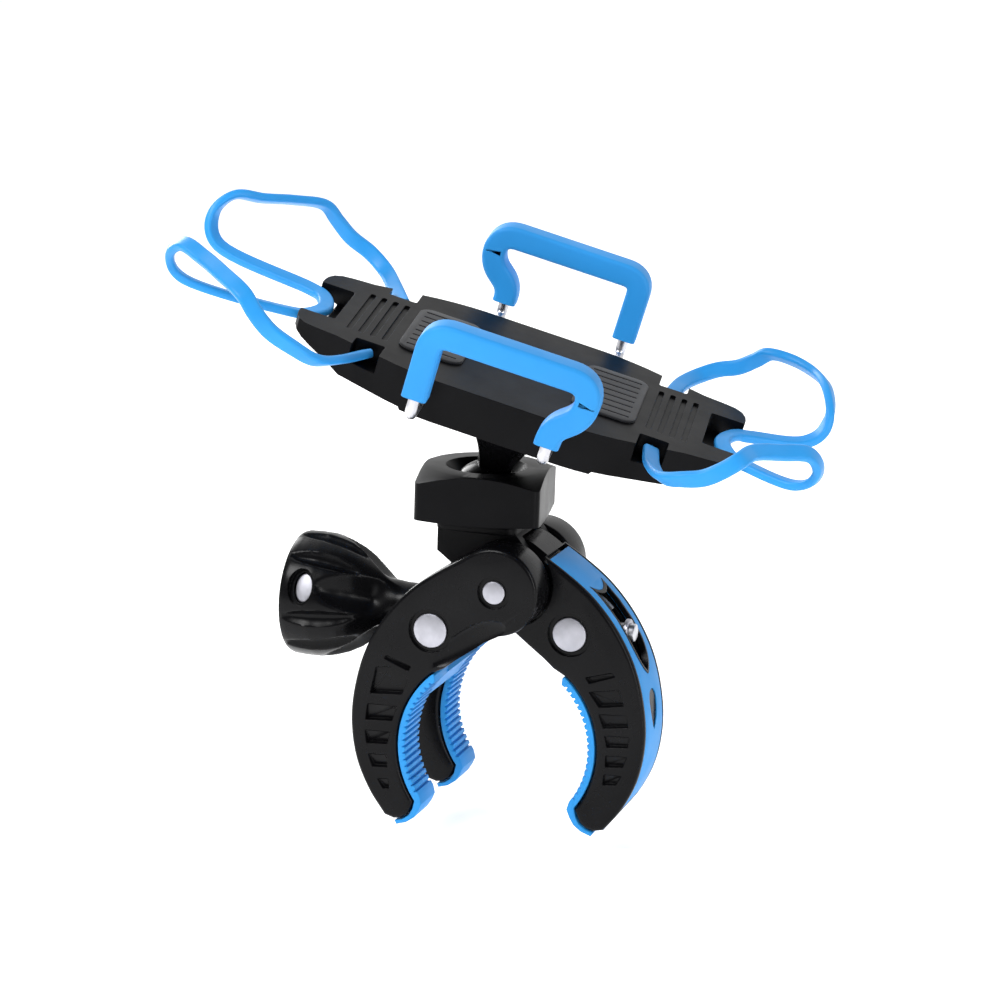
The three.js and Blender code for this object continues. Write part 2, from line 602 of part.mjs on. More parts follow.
function coatPath() {
  return bentPath([
    [-ROD_OUTER, -ARM_Y, LEG_LOW.outer],
    [-ROD_OUTER, -ARM_Y, ARM_TOP, 4],
    [ROD_OUTER, -ARM_Y, ARM_TOP, 4.6],
    [ROD_OUTER, -ARM_Y, 7.2, 3],
    [ROD_INNER, -ARM_Y, 2.6, 2.6],
    [ROD_INNER, -ARM_Y, LEG_LOW.inner - 1.6],
  ]);
}

function armSolids() {
  const wire = swept(circle(ROD_R, 7), wirePath(), WIRE_STEPS);
  const hole = swept(circle(ROD_R + 0.12, 7), wirePath(), WIRE_STEPS);
  const a = COAT.across / 2;
  const d = COAT.deep / 2;
  const section = shapeOf([[-a, -d + 1], [-a + 1, -d], [a - 1, -d], [a, -d + 1], [a, d - 1], [a - 1, d], [-a + 1, d],
    [-a, d - 1]]);
  const coat = cut(swept(section, coatPath(), 32), hole);
  return { wire, coat };
}

const arms = armSolids();
const turnedRound = (solid) => solid.rotate([0, 0, 180]);
addMesh(cradle, 'arm_front_wire', arms.wire, steel);
addMesh(cradle, 'arm_front_coat', arms.coat, blueRubber);
addMesh(cradle, 'arm_rear_wire', turnedRound(arms.wire), steel);
addMesh(cradle, 'arm_rear_coat', turnedRound(arms.coat), blueRubber);

// Compression springs that pull each arm inward, and the collars they push on.
const SPRING_LOW = -20.6;
const SPRING_HIGH = 8.2;
const springLength = SPRING_HIGH - SPRING_LOW;
[[-ROD_OUTER, 'outer'], [ROD_INNER, 'inner']].forEach(([x, label]) => {
  const coil = swept(circle(0.3, 4), new Helix(1.72, springLength / 7.5, 7.5, 0), 46)
    .translate([x, (SPRING_LOW + SPRING_HIGH) / 2, ROD_Z]);
  const collar = cut(rodY(x, ROD_Z, 2.25, 8.6, 9.8, 16), rodY(x, ROD_Z, ROD_R + 0.06, 8, 11, 16));
  addMesh(cradle, `arm_front_spring_${label}`, coil, springSteel);
  addMesh(cradle, `arm_rear_spring_${label}`, turnedRound(coil), springSteel);
  addMesh(cradle, `arm_front_collar_${label}`, collar, steel);
  addMesh(cradle, `arm_rear_collar_${label}`, turnedRound(collar), steel);
});

// ---- silicone bands -----------------------------------------------------
// One band at each end of the base. It leaves a side notch, rounds the phone's long edge, crosses the corner of
// the glass, rounds the short edge and comes back to the end notch, then does the same at the other corner.
const BAND_UNDER = -2.6;
const SIDE_RUN = [[16, -26, -2.4], [13, -32.4, -1.6], [9.5, -34.6, 0.3], [5.5, -35, 2.2], [2.5, -35, 4.9],
  [0, -34.2, 7.6]];
const ACROSS_GLASS = [[12.6, -28.8], [6.8, -23.3], [1.4, -19.6]];
const END_RUN = [[-1.3, -17, 5], [-0.9, -14.8, 1], [2.2, -13, -1.6]];

// Half of a band, from its side notch to its end notch, on the -Y side. Its lengths run inward from the
// phone's end.
function bandCorner(side) {
  const inward = (distance) => side * (PHONE.length / 2 - distance) + PHONE.shift;
  const [start, stretch] = side < 0 ? [19, 1.3] : [14.9, 1];
  return [
    [side * 31, -17.4, BAND_UNDER],
    ...SIDE_RUN.map(([run, y, z]) => [inward(start + stretch * run), y, z]),
    ...ACROSS_GLASS.map(([distance, y]) => [inward(distance), y, PHONE.thick + 1.2]),
    ...END_RUN.map(([distance, y, z]) => [inward(distance), y, z]),
    [side * 50, -8.4, BAND_UNDER],
    [side * 46.8, -6.4, BAND_UNDER],
  ];
}

function band(side) {
  const near = bandCorner(side);
  const far = near.map(([x, y, z]) => [x, -y, z]).reverse();
  const route = [...near, [side * 44.6, 0, BAND_UNDER], ...far].map((p) => new THREE.Vector3(...p));
  return swept(circle(BAND_R, 7), new THREE.CatmullRomCurve3(route, false, 'centripetal'), 72);
}
addMesh(cradle, 'band_left', band(-1), blueSilicone);
addMesh(cradle, 'band_right', band(1), blueSilicone);

export default group;
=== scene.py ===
import json
import math
import bpy
import bmesh
import numpy as np
from mathutils import Vector, Matrix


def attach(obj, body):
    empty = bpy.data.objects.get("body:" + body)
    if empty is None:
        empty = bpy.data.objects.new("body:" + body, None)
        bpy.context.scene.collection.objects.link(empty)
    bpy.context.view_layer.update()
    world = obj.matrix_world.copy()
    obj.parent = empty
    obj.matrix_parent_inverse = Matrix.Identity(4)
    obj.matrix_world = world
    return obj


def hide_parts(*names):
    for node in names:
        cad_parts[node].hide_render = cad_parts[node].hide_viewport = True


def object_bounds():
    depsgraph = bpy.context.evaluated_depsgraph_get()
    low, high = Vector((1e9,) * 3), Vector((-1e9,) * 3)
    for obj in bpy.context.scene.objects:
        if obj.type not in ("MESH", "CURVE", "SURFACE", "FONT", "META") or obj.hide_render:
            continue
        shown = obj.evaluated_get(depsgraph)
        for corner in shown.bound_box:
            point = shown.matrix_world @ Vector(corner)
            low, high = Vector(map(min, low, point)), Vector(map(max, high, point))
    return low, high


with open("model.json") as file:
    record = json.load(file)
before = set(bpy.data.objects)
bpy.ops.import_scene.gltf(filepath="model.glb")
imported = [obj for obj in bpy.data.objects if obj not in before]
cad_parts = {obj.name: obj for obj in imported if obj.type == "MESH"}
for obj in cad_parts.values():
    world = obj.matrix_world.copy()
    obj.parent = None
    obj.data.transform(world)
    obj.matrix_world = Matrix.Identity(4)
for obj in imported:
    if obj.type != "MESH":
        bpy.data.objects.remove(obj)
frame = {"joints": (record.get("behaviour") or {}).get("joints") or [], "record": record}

CAD_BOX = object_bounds()
MM = 0.001
JOINTS = {j["name"]: j for j in frame["joints"]}
MOUNTS = {m["name"]: m for m in frame["record"]["mounts"]}


# ---- places, from the frame ----------------------------------------------------
HINGE = Vector(JOINTS["jaw_left_hinge"]["pos_m"])
BALL = Vector(JOINTS["cradle_swivel"]["pos_m"])
UP = Vector(JOINTS["cradle_spin"]["axis"]).normalized()
ACROSS = Vector(JOINTS["arm_rear_slide"]["axis"]).normalized()
ALONG = ACROSS.cross(UP).normalized()
TILT_Y = Vector(JOINTS["cradle_tilt"]["axis"]).normalized()
TILT_X = TILT_Y.cross(UP).normalized()
PAD_FROM_MIDDLE = 19  # the phone_rest mount lies on the left face pad
REST = Vector(MOUNTS["phone_rest"]["pos_m"]) + ALONG * PAD_FROM_MIDDLE * MM


def placed(origin, x, y, z):
    """A frame at origin whose axes are x, y and z."""
    matrix = Matrix((x, y, z)).transposed().to_4x4()
    matrix.translation = origin
    return matrix


CLAMP = Matrix.Translation(HINGE)
CRADLE = placed(REST, ALONG, ACROSS, UP)
STUD = placed(BALL, TILT_X, TILT_Y, UP)
NUT_TURN = math.radians(10)
NUT = Matrix.Translation(BALL) @ Matrix.Rotation(NUT_TURN, 4, "Z")
TURNED = Matrix.Rotation(math.pi, 4, "Z")
BALL_UP = (BALL.z - HINGE.z) / MM
BALL_X = (BALL.x - HINGE.x) / MM


# ---- materials -----------------------------------------------------------------
def new_material(name):
    material = bpy.data.materials.new(name)
    material.use_nodes = True
    tree = material.node_tree
    return material, tree, tree.nodes["Principled BSDF"]


def add_node(tree, kind, settings=(), **inputs):
    made = tree.nodes.new(kind)
    for key, value in dict(settings).items():
        setattr(made, key, value)
    for key, value in inputs.items():
        made.inputs[key.replace("_", " ")].default_value = value
    return made


def noise(tree, scale, detail, stretch=(1, 1, 1), roughness=0.5):
    coords = add_node(tree, "ShaderNodeTexCoord")
    mapping = add_node(tree, "ShaderNodeMapping")
    mapping.inputs["Scale"].default_value = stretch
    tree.links.new(coords.outputs["Object"], mapping.inputs["Vector"])
    grain = add_node(tree, "ShaderNodeTexNoise", Scale=scale, Detail=detail, Roughness=roughness)
    tree.links.new(mapping.outputs["Vector"], grain.inputs["Vector"])
    return grain.outputs["Fac"]


def ramp(tree, source, stops):
    node = tree.nodes.new("ShaderNodeValToRGB")
    elements = node.color_ramp.elements
    while len(elements) < len(stops):
        elements.new(0.5)
    for element, (place, value) in zip(elements, stops):
        element.position = place
        colour = value if isinstance(value, tuple) else (value, value, value)
        element.color = (*colour, 1)
    tree.links.new(source, node.inputs["Fac"])
    return node.outputs["Color"]


# depth of the grain and radius of the rounded edges, metres
PLASTIC_RELIEF = (0.00004, 0.00022)
RUBBER_RELIEF = (0.00003, 0.0003)
METAL_RELIEF = (0.00003, 0.0002)


def bumped(tree, shader, source, strength, distance, edge):
    """Fine grain over edges that look slightly rounded."""
    bump = add_node(tree, "ShaderNodeBump", Strength=strength, Distance=distance)
    tree.links.new(source, bump.inputs["Height"])
    rounded = add_node(tree, "ShaderNodeBevel", {"samples": 4}, Radius=edge)
    tree.links.new(rounded.outputs["Normal"], bump.inputs["Normal"])
    tree.links.new(bump.outputs["Normal"], shader.inputs["Normal"])


def plastic(name, colour, rough_low, rough_high, grain_scale, grain, shine):
    material, tree, shader = new_material(name)
    lighter = tuple(c * 1.35 + 0.002 for c in colour)
    patches = noise(tree, 60, 5)
    tree.links.new(ramp(tree, patches, [(0.3, colour), (0.75, lighter)]), shader.inputs["Base Color"])
    smudges = noise(tree, 130, 6, roughness=0.6)
    tree.links.new(ramp(tree, smudges, [(0.3, rough_low), (0.75, rough_high)]), shader.inputs["Roughness"])
    shader.inputs["Specular IOR Level"].default_value = shine
    bumped(tree, shader, noise(tree, grain_scale, 3), grain, *PLASTIC_RELIEF)
    return material


def rubber(name, colour, rough, sheen):
    material, tree, shader = new_material(name)
    darker = tuple(c * 0.86 for c in colour)
    tree.links.new(ramp(tree, noise(tree, 45, 5), [(0.3, darker), (0.7, colour)]), shader.inputs["Base Color"])
    tree.links.new(ramp(tree, noise(tree, 160, 5), [(0.3, rough - 0.06), (0.75, rough + 0.08)]),
                   shader.inputs["Roughness"])
    shader.inputs["Sheen Weight"].default_value = sheen
    shader.inputs["Sheen Roughness"].default_value = 0.5
    shader.inputs["Specular IOR Level"].default_value = 0.25
    bumped(tree, shader, noise(tree, 5200, 3), 0.22, *RUBBER_RELIEF)
    return material


def metal(name, tint, rough, stretch=(1, 1, 1)):
    """Metal whose grain is drawn out where stretch is small."""
    material, tree, shader = new_material(name)
    shader.inputs["Metallic"].default_value = 1.0
    darker = tuple(c * 0.78 for c in tint)
    tree.links.new(ramp(tree, noise(tree, 300, 5, stretch), [(0.3, darker), (0.7, tint)]),
                   shader.inputs["Base Color"])
    tree.links.new(ramp(tree, noise(tree, 900, 4, stretch), [(0.25, rough), (0.8, rough + 0.17)]),
                   shader.inputs["Roughness"])
    bumped(tree, shader, noise(tree, 2600, 3, stretch), 0.2, *METAL_RELIEF)
    return material


BLACK = plastic("gloss_black", (0.0018, 0.0018, 0.0023), 0.22, 0.32, 3800, 0.06, 0.13)
SATIN = plastic("satin_black", (0.0022, 0.0022, 0.0027), 0.36, 0.46, 3000, 0.14, 0.08)
CRADLE_BLACK = plastic("cradle_black", (0.0018, 0.0018, 0.0023), 0.30, 0.40, 3000, 0.10, 0.08)
BLUE = rubber("blue_coating", (0.024, 0.29, 0.72), 0.50, 0.02)
SILICONE = rubber("blue_silicone", (0.024, 0.30, 0.74), 0.40, 0.03)
DARK_RUBBER = rubber("dark_rubber", (0.016, 0.016, 0.018), 0.72, 0.15)
STEEL = metal("brushed_steel", (0.50, 0.50, 0.55), 0.36)
STEEL_SHAFT = metal("drawn_steel", (0.62, 0.62, 0.65), 0.24, (1, 1, 0.2))
SPRING = metal("spring_steel", (0.50, 0.51, 0.54), 0.24)


# ---- mesh helpers, millimetres -------------------------------------------------
def mesh_object(name, verts, faces, matrix):
    """Points in millimetres in the frame `matrix`, or in metres if there is none."""
    mesh = bpy.data.meshes.new(name)
    mesh.from_pydata([tuple(v) for v in verts], [], [tuple(f) for f in faces])
    obj = bpy.data.objects.new(name, mesh)
    bpy.context.scene.collection.objects.link(obj)
    work = bmesh.new()
    work.from_mesh(mesh)
    bmesh.ops.remove_doubles(work, verts=work.verts, dist=1e-5)
    bmesh.ops.recalc_face_normals(work, faces=work.faces)
    work.to_mesh(mesh)
    work.free()
    if matrix is not None:
        mesh.transform(matrix @ Matrix.Scale(MM, 4))
    return obj


def bool_op(obj, tools, operation="DIFFERENCE"):
    """Applies every tool to obj and removes the tools."""
    for tool in tools:
        modifier = obj.modifiers.new("cut", "BOOLEAN")
        modifier.operation = operation
        modifier.object = tool
        modifier.solver = "EXACT"
    graph = bpy.context.evaluated_depsgraph_get()
    mesh = bpy.data.meshes.new_from_object(obj.evaluated_get(graph))
    obj.modifiers.clear()
    obj.data = mesh
    for tool in tools:
        bpy.data.objects.remove(tool)
    return obj


def loft(name, rings, matrix, closed=False):
    """Skin over rings of equal length; closed joins the last ring to the first."""
    count = len(rings[0])
    verts = [v for ring in rings for v in ring]
    faces = []
    spans = len(rings) if closed else len(rings) - 1
    for i in range(spans):
        a, b = i * count, ((i + 1) % len(rings)) * count
        for j in range(count):
            k = (j + 1) % count
            faces.append((a + j, a + k, b + k, b + j))
    if not closed:
        faces.append(tuple(range(count))[::-1])
        faces.append(tuple(range((len(rings) - 1) * count, len(rings) * count)))
    return mesh_object(name, verts, faces, matrix)


def inset(outline, amount):
    """Moves a closed 2-D outline inwards."""
    points = np.array(outline, float)
    x, y = points.T
    area = 0.5 * np.sum(x * np.roll(y, -1) - np.roll(x, -1) * y)
    before = points - np.roll(points, 1, 0)
    after = np.roll(points, -1, 0) - points
    before /= np.linalg.norm(before, axis=1)[:, None]
    after /= np.linalg.norm(after, axis=1)[:, None]
    normal = np.stack([-(before[:, 1] + after[:, 1]), before[:, 0] + after[:, 0]], 1)
    normal /= np.linalg.norm(normal, axis=1)[:, None]
    cosine = np.clip(np.abs(np.sum(normal * np.stack([-after[:, 1], after[:, 0]], 1), 1)), 0.5, 1)
    return points + normal * (np.sign(area) * amount / cosine)[:, None]


def slab_rings(outline, low, high, rounding, to_3d, steps):
    turns = [math.pi / 2 * i / steps for i in range(steps + 1)]
    levels = [(low + rounding * (1 - math.sin(a)), rounding * (1 - math.cos(a))) for a in reversed(turns)]
    levels += [(high - rounding * (1 - math.sin(a)), rounding * (1 - math.cos(a))) for a in turns]
    return [[to_3d(p, level) for p in (inset(outline, push) if push > 1e-6 else outline)]
            for level, push in levels]


def slab_y(name, outline, low, high, rounding=0.0, matrix=CLAMP, steps=4):
    """An XZ outline between two Y planes, with rounded rims."""
    rings = slab_rings(outline, low, high, rounding, lambda p, y: (p[0], y, p[1]), steps if rounding else 1)
    return loft(name, rings[:1] + rings[-1:] if not rounding else rings, matrix)


def slab_z(name, outline, low, high, rounding=0.0, matrix=CLAMP, steps=3):
    """An XY outline between two Z planes, with rounded rims."""
    rings = slab_rings(outline, low, high, rounding, lambda p, z: (p[0], p[1], z), steps if rounding else 1)
    return loft(name, rings[:1] + rings[-1:] if not rounding else rings, matrix)


AXES = {
    "x": Matrix(((0, 0, 1), (1, 0, 0), (0, 1, 0))).to_4x4(),
    "y": Matrix(((0, 1, 0), (0, 0, 1), (1, 0, 0))).to_4x4(),
    "z": Matrix.Identity(4),
}


def lathe(name, profile, axis="z", at=(0, 0, 0), matrix=CLAMP, sides=96, shape=None):
    """Turns [radius, height] points about an axis; shape(angle, radius, height) may change the radius."""
    rings = []
    for radius, height in profile:
        ring = []
        for i in range(sides):
            angle = 2 * math.pi * i / sides
            r = shape(angle, radius, height) if shape else radius
            ring.append((r * math.cos(angle), r * math.sin(angle), height))
        rings.append(ring)
    place = Matrix.Translation(Vector(at)) @ AXES[axis]
    rings = [[tuple(place @ Vector(p)) for p in ring] for ring in rings]
    return loft(name, rings, matrix)


def rod(name, radius, low, high, axis="y", at=(0, 0), rim=0.0, matrix=CLAMP, sides=64):
    place = {"y": (at[0], 0, at[1]), "x": (0, at[0], at[1]), "z": (at[0], at[1], 0)}[axis]
    profile = [(radius, low), (radius, high)]
    if rim:
        profile = [(radius - rim, low), (radius - rim * 0.3, low + rim * 0.3), (radius, low + rim),
                   (radius, high - rim), (radius - rim * 0.3, high - rim * 0.3), (radius - rim, high)]
    return lathe(name, profile, axis, place, matrix, sides)


def smooth_curve(points, per_span=8):
    """Centripetal Catmull-Rom through the points."""
    pts = [np.array(p, float) for p in points]
    pts = [2 * pts[0] - pts[1], *pts, 2 * pts[-1] - pts[-2]]
    out = []
    for p0, p1, p2, p3 in zip(pts, pts[1:], pts[2:], pts[3:]):
        t0 = 0.0
        t1 = t0 + np.linalg.norm(p1 - p0) ** 0.5
        t2 = t1 + np.linalg.norm(p2 - p1) ** 0.5
        t3 = t2 + np.linalg.norm(p3 - p2) ** 0.5
        for k in range(per_span):
            t = t1 + (t2 - t1) * k / per_span
            a = p0 + (p1 - p0) * (t - t0) / (t1 - t0)
            b = p1 + (p2 - p1) * (t - t1) / (t2 - t1)
            c = p2 + (p3 - p2) * (t - t2) / (t3 - t2)
            d = a + (b - a) * (t - t0) / (t2 - t0)
            e = b + (c - b) * (t - t1) / (t3 - t1)
            out.append(d + (e - d) * (t - t1) / (t2 - t1))
    out.append(pts[-2])
    return out


def rounded_path(points, steps=8):
    """Straight runs joined by quadratic corners: each inner point is (x, y, z, cut)."""
    out = [np.array(points[0][:3], float)]
    for i in range(1, len(points) - 1):
        corner = np.array(points[i][:3], float)
        cut = points[i][3]
        a = np.array(points[i - 1][:3], float) - corner
        b = np.array(points[i + 1][:3], float) - corner
        start = corner + a / np.linalg.norm(a) * cut
        end = corner + b / np.linalg.norm(b) * cut
        for k in range(steps + 1):
            t = k / steps
            out.append((1 - t) ** 2 * start + 2 * t * (1 - t) * corner + t * t * end)
    out.append(np.array(points[-1][:3], float))
    return out


def sweep(name, path, section, matrix, side=None):
    """Sweeps a 2-D section, (side, across) pairs, along a path. side(i, tangent) gives the first direction."""
    pts = np.array(path, float)
    tangents = np.gradient(pts, axis=0)
    tangents /= np.linalg.norm(tangents, axis=1)[:, None]
    rings = []
    previous = None
    for i, (p, t) in enumerate(zip(pts, tangents)):
        if side is not None:
            u = np.array(side(i, t), float)
        elif previous is None:
            u = np.cross(t, (0, 0, 1.0)) if abs(t[2]) < 0.9 else np.cross(t, (0, 1.0, 0))
        else:
            u = previous
        u = u - t * np.dot(u, t)
        u /= np.linalg.norm(u)
        previous = u
        v = np.cross(t, u)
        rings.append([tuple(p + (u * a + v * b)) for a, b in section])
    return loft(name, rings, matrix)


def disc(radius, sides):
    turns = [2 * math.pi * i / sides for i in range(sides)]
    return [(radius * math.cos(a), radius * math.sin(a)) for a in turns]


def rounded_rect(x0, x1, y0, y1, r, steps=6):
    out = []
    for cx, cy, start in ((x1 - r, y0 + r, -90), (x1 - r, y1 - r, 0),
                          (x0 + r, y1 - r, 90), (x0 + r, y0 + r, 180)):
        for k in range(steps + 1):
            a = math.radians(start + 90 * k / steps)
            out.append((cx + r * math.cos(a), cy + r * math.sin(a)))
    return out


def finish_piece(obj, material, body, slot, *nodes, angle=32, bevel=0.0, segments=2):
    """Gives a piece its material, edges and body, and hides the CAD nodes that it stands for; slot is not
    used.
    """
    obj.data.materials.clear()
    obj.data.materials.append(material)
    if bevel:
        modifier = obj.modifiers.new("edges", "BEVEL")
        modifier.width = bevel * MM
        modifier.segments = segments
        modifier.limit_method = "ANGLE"
        modifier.angle_limit = math.radians(angle)
    obj.data.polygons.foreach_set("use_smooth", [True] * len(obj.data.polygons))
    obj.data.set_sharp_from_angle(angle=math.radians(angle))
    if nodes:
        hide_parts(*nodes)
    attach(obj, body)
    return obj


def mirrored(points):
    return [(-x, z) for x, z in points][::-1]


# ---- jaws ----------------------------------------------------------------------
EAR_R, IN_R, PAD_R = 9.6, 22.0, 20.0
CENTRE = (-1.0, -36.0)  # of the right jaw's arcs; the left jaw mirrors them
FORK_HALF, FORK_GAP, CLAW_HALF = 18.0, 8.5, 8.0
PIN_X, PIN_Z, PIN_R, PIN_BORE = 14, -10, 3.75, 3.83
HINGE_R, HINGE_BORE = 2.5, 2.56
BACK = [(6.2, 7.3), (12.8, 3.2), (18.6, -1.2), (24.2, -7.6), (28.6, -15.5), (31.0, -24.0), (31.7, -32.0),
        (30.4, -40.5), (27.2, -47.6), (23.4, -52.8)]


def arc_point(radius, degrees):
    return (CENTRE[0] + radius * math.cos(math.radians(degrees)),
            CENTRE[1] + radius * math.sin(math.radians(degrees)))


def arc(radius, start, end, count):
    return [arc_point(radius, start + (end - start) * i / count) for i in range(count + 1)]


def back_points(offset=0.0):
    """The jaw's back from the ear down; a positive offset lies inside the jaw."""
    points = smooth_curve(BACK)
    tangents = np.gradient(np.array(points), axis=0)
    tangents /= np.linalg.norm(tangents, axis=1)[:, None]
    return [(p[0] + t[1] * offset, p[1] - t[0] * offset) for p, t in zip(points, tangents)]


def jaw_outline():
    ear = [(EAR_R * math.cos(math.radians(a)), EAR_R * math.sin(math.radians(a)))
           for a in np.linspace(262, 54, 30)]
    tip = [(21.2, -53.4), (19.4, -53.0), (18.0, -51.9), (17.3, -50.4)]
    inside = arc(IN_R, -36, 48, 30)
    throat = [(10.6, -18.0), (8.5, -16.2), (6.3, -14.6), (4.1, -13.0), (2.0, -11.4)]
    return ear + back_points()[2:] + tip + inside + throat


PAD_BACK_R = IN_R - 0.3
RIBS, RIBS_FROM, RIBS_TO = 19, 47, -32
# share of a rib's length, depth below the contact face
RIB_PROFILE = ((0.0, 0.0), (0.28, 0.05), (0.56, 0.12), (0.72, 0.6), (0.86, 0.66))


def pad_outline():
    """Grip pad with saw-like ribs on its contact face and a toe round the jaw's tip."""
    step = (RIBS_FROM - RIBS_TO) / RIBS
    contact = [arc_point(PAD_R + 1.2, 49.5)]
    for i in range(RIBS):
        start = RIBS_FROM - (RIBS_FROM - RIBS_TO) * i / RIBS
        contact += [arc_point(PAD_R + depth, start - step * share) for share, depth in RIB_PROFILE]
    contact += arc(PAD_R, -32, -35, 3)
    toe = [(14.9, -49.3), (15.6, -51.0), (16.6, -52.6), (18.4, -53.9), (20.6, -54.6), (21.0, -53.8),
           (19.3, -53.3), (17.8, -52.2), (17.0, -50.7)]
    return contact + toe + arc(PAD_BACK_R, -36, 49, 30)


def ring_cut(x, z, radius, face):
    """Shallow recess round a pin's end, in the jaw face at Y = face."""
    side = 1 if face > 0 else -1
    low, high = sorted((face - side * 0.75, face + side * 2))
    return rod("ring", radius + 1.05, low, high, at=(x, z))


def pocket(points, face, depth, shallow):
    """A pocket let into an XZ face, whose floor slopes: shallow at its top edge, deep at its bottom edge."""
    side = 1 if face > 0 else -1
    inner = [tuple(p) for p in inset(points, 0.28)]
    low, high = min(z for _, z in points), max(z for _, z in points)

    def floor_y(z):
        share = min(1.0, max(0.0, (high - z) / (high - low)))
        return face - side * (shallow + (depth - shallow) * share)

    rings = [[(x, face + side * 0.6, z) for x, z in points], [(x, face, z) for x, z in points],
             [(x, floor_y(z), z) for x, z in inner]]
    return loft("pocket", rings, CLAMP)


# pockets down the jaws' faces: depth at the bottom edge, depth at the top edge, corners
RUNGS = {
    "fork": [(1.1, 0.35, [(17.9, -18.3), (23.8, -16.5), (24.4, -17.4), (18.6, -19.6)]),
             (1.5, 0.5, [(18.5, -21.3), (22.8, -19.0), (26.1, -19.4), (27.4, -25.7), (19.9, -25.0)]),
             (1.3, 0.2, [(20.8, -27.6), (27.9, -27.9), (28.3, -31.8), (22.0, -31.2)]),
             (1.3, 0.2, [(22.2, -33.6), (28.4, -33.9), (27.9, -37.1), (23.0, -36.6)]),
             (1.2, 0.2, [(23.0, -38.9), (27.6, -39.2), (26.4, -42.2), (22.8, -41.9)]),
             (1.0, 0.2, [(22.4, -44.3), (25.3, -44.5), (23.8, -46.9), (22.3, -46.7)])],
    "claw": [(1.0, 0.3, [(17.9, -18.9), (23.9, -17.0), (24.8, -18.0), (18.9, -20.3)]),
             (1.3, 0.3, [(18.8, -22.0), (25.7, -20.6), (27.0, -24.3), (21.4, -25.3)]),
             (1.2, 0.2, [(21.2, -26.6), (27.7, -26.1), (28.1, -28.9), (22.4, -29.8)]),
             (1.1, 0.2, [(22.7, -31.2), (28.5, -30.8), (28.2, -33.4), (23.4, -34.0)]),
             (1.1, 0.2, [(23.2, -35.6), (28.2, -35.3), (27.3, -37.9), (23.2, -38.4)]),
             (1.0, 0.2, [(23.0, -39.9), (27.2, -39.7), (25.9, -42.1), (22.8, -42.5)])],
}


def smooth_corners(points, radius):
    pts = [(x, z, 0, radius) for x, z in points]
    loop = [pts[-1]] + pts + [pts[0]]
    path = rounded_path(loop, 4)[1:-1]
    return [(float(p[0]), float(p[1])) for p in path]


def jaw(name, side, y_ranges):
    outline = jaw_outline()
    outline = outline if side > 0 else mirrored(outline)
    return [slab_y(name, outline, low, high, 0.9) for low, high in y_ranges]


def cut_jaw(body, side, half, kind):
    """Bores, recesses round the pins and pockets; only the fork shows the hinge pin's ends."""
    flip = (lambda pts: pts) if side > 0 else mirrored
    tools = [rod("bore", HINGE_BORE, -25, 25), rod("bore", PIN_BORE, -25, 25, at=(side * PIN_X, PIN_Z))]
    for face in (-half, half):
        tools.append(ring_cut(side * PIN_X, PIN_Z, PIN_R, face))
        if kind == "fork":
            tools.append(ring_cut(0, 0, HINGE_R, face))
        for depth, shallow, corners in RUNGS[kind]:
            tools.append(pocket(flip(smooth_corners(corners, 0.4)), face, depth, shallow))
    return bool_op(body, tools)


SCOOP_HALF_WIDTH, SCOOP_DEPTH, SCOOP_LIFT = 3.6, 2.9, 1.2


def throat_scoop(side, face):
    """Broad soft groove along the throat of the forked jaw's face, from the barrel to below the ear."""
    sign = 1 if face > 0 else -1
    path = smooth_curve([(side * 13.5, 0, -17.6), (side * 9.0, 0, -14.6), (side * 4.6, 0, -11.4),
                         (side * 0.6, 0, -8.6), (side * -3.4, 0, -6.6)], 8)
    rings = []
    for i, p in enumerate(path):
        share = i / (len(path) - 1)
        size = math.sin(math.pi * (0.03 + 0.94 * share)) ** 0.5
        t = path[min(i + 1, len(path) - 1)] - path[max(i - 1, 0)]
        u = np.cross(t / np.linalg.norm(t), (0, 1.0, 0))
        rings.append([tuple(p + u * SCOOP_HALF_WIDTH * size * math.cos(a)
                            + np.array((0, face + sign * SCOOP_LIFT + SCOOP_DEPTH * size * math.sin(a), 0)))
                      for a in np.linspace(0, 2 * math.pi, 28, endpoint=False)])
    return loft("scoop", rings, CLAMP)


left_parts = jaw("left_jaw_body", -1, [(-FORK_HALF, -FORK_GAP), (FORK_GAP, FORK_HALF)])
web_area = mirrored([(11.5, -17.3), (22, -17.3), (27, -20.8), (31.0, -26), (20.5, -26), (14, -20)])
web = slab_y("web", web_area, -FORK_GAP - 1.2, FORK_GAP + 1.2)
limit = slab_y("limit", mirrored(jaw_outline()), -FORK_HALF, FORK_HALF)
web = bool_op(web, [limit], "INTERSECT")
left_body = bool_op(left_parts[0], [left_parts[1], web], "UNION")
left_body = cut_jaw(left_body, -1, FORK_HALF, "fork")
left_body = bool_op(left_body, [throat_scoop(-1, -FORK_HALF), throat_scoop(-1, FORK_HALF)])
finish_piece(left_body, BLACK, "left_jaw", "black_gloss", "jaw_left")

right_body = jaw("right_jaw_body", 1, [(-CLAW_HALF, CLAW_HALF)])[0]
# room between the claw's faces for the screw, the spring and their travel
channel = [(-13, -25), (8.5, -25), (11.8, -17), (20.5, -17), (27.5, -19.5), (36, -16), (36, 3.2),
           (19.2, 3.2), (16.2, -1.8), (5.3, 5.3)]
channel += [(7.5 * math.cos(math.radians(60 + i * 17)), 7.5 * math.sin(math.radians(60 + i * 17)))
            for i in range(8)]
channel += [(-13, 0)]
trim_out, trim_in = back_points(-3.0)[2:66], back_points(1.7)[2:66]
seat = slab_y("seat", trim_out + trim_in[::-1], -6.7, 6.7)
right_body = bool_op(right_body, [slab_y("channel", channel, -3.2, 3.2), seat,
                                  rod("relief", EAR_R + 0.4, 5.4, 9.0),
                                  rod("relief", EAR_R + 0.4, -9.0, -5.4)])
right_body = cut_jaw(right_body, 1, CLAW_HALF, "claw")
finish_piece(right_body, BLACK, "right_jaw", "black_gloss", "jaw_right")


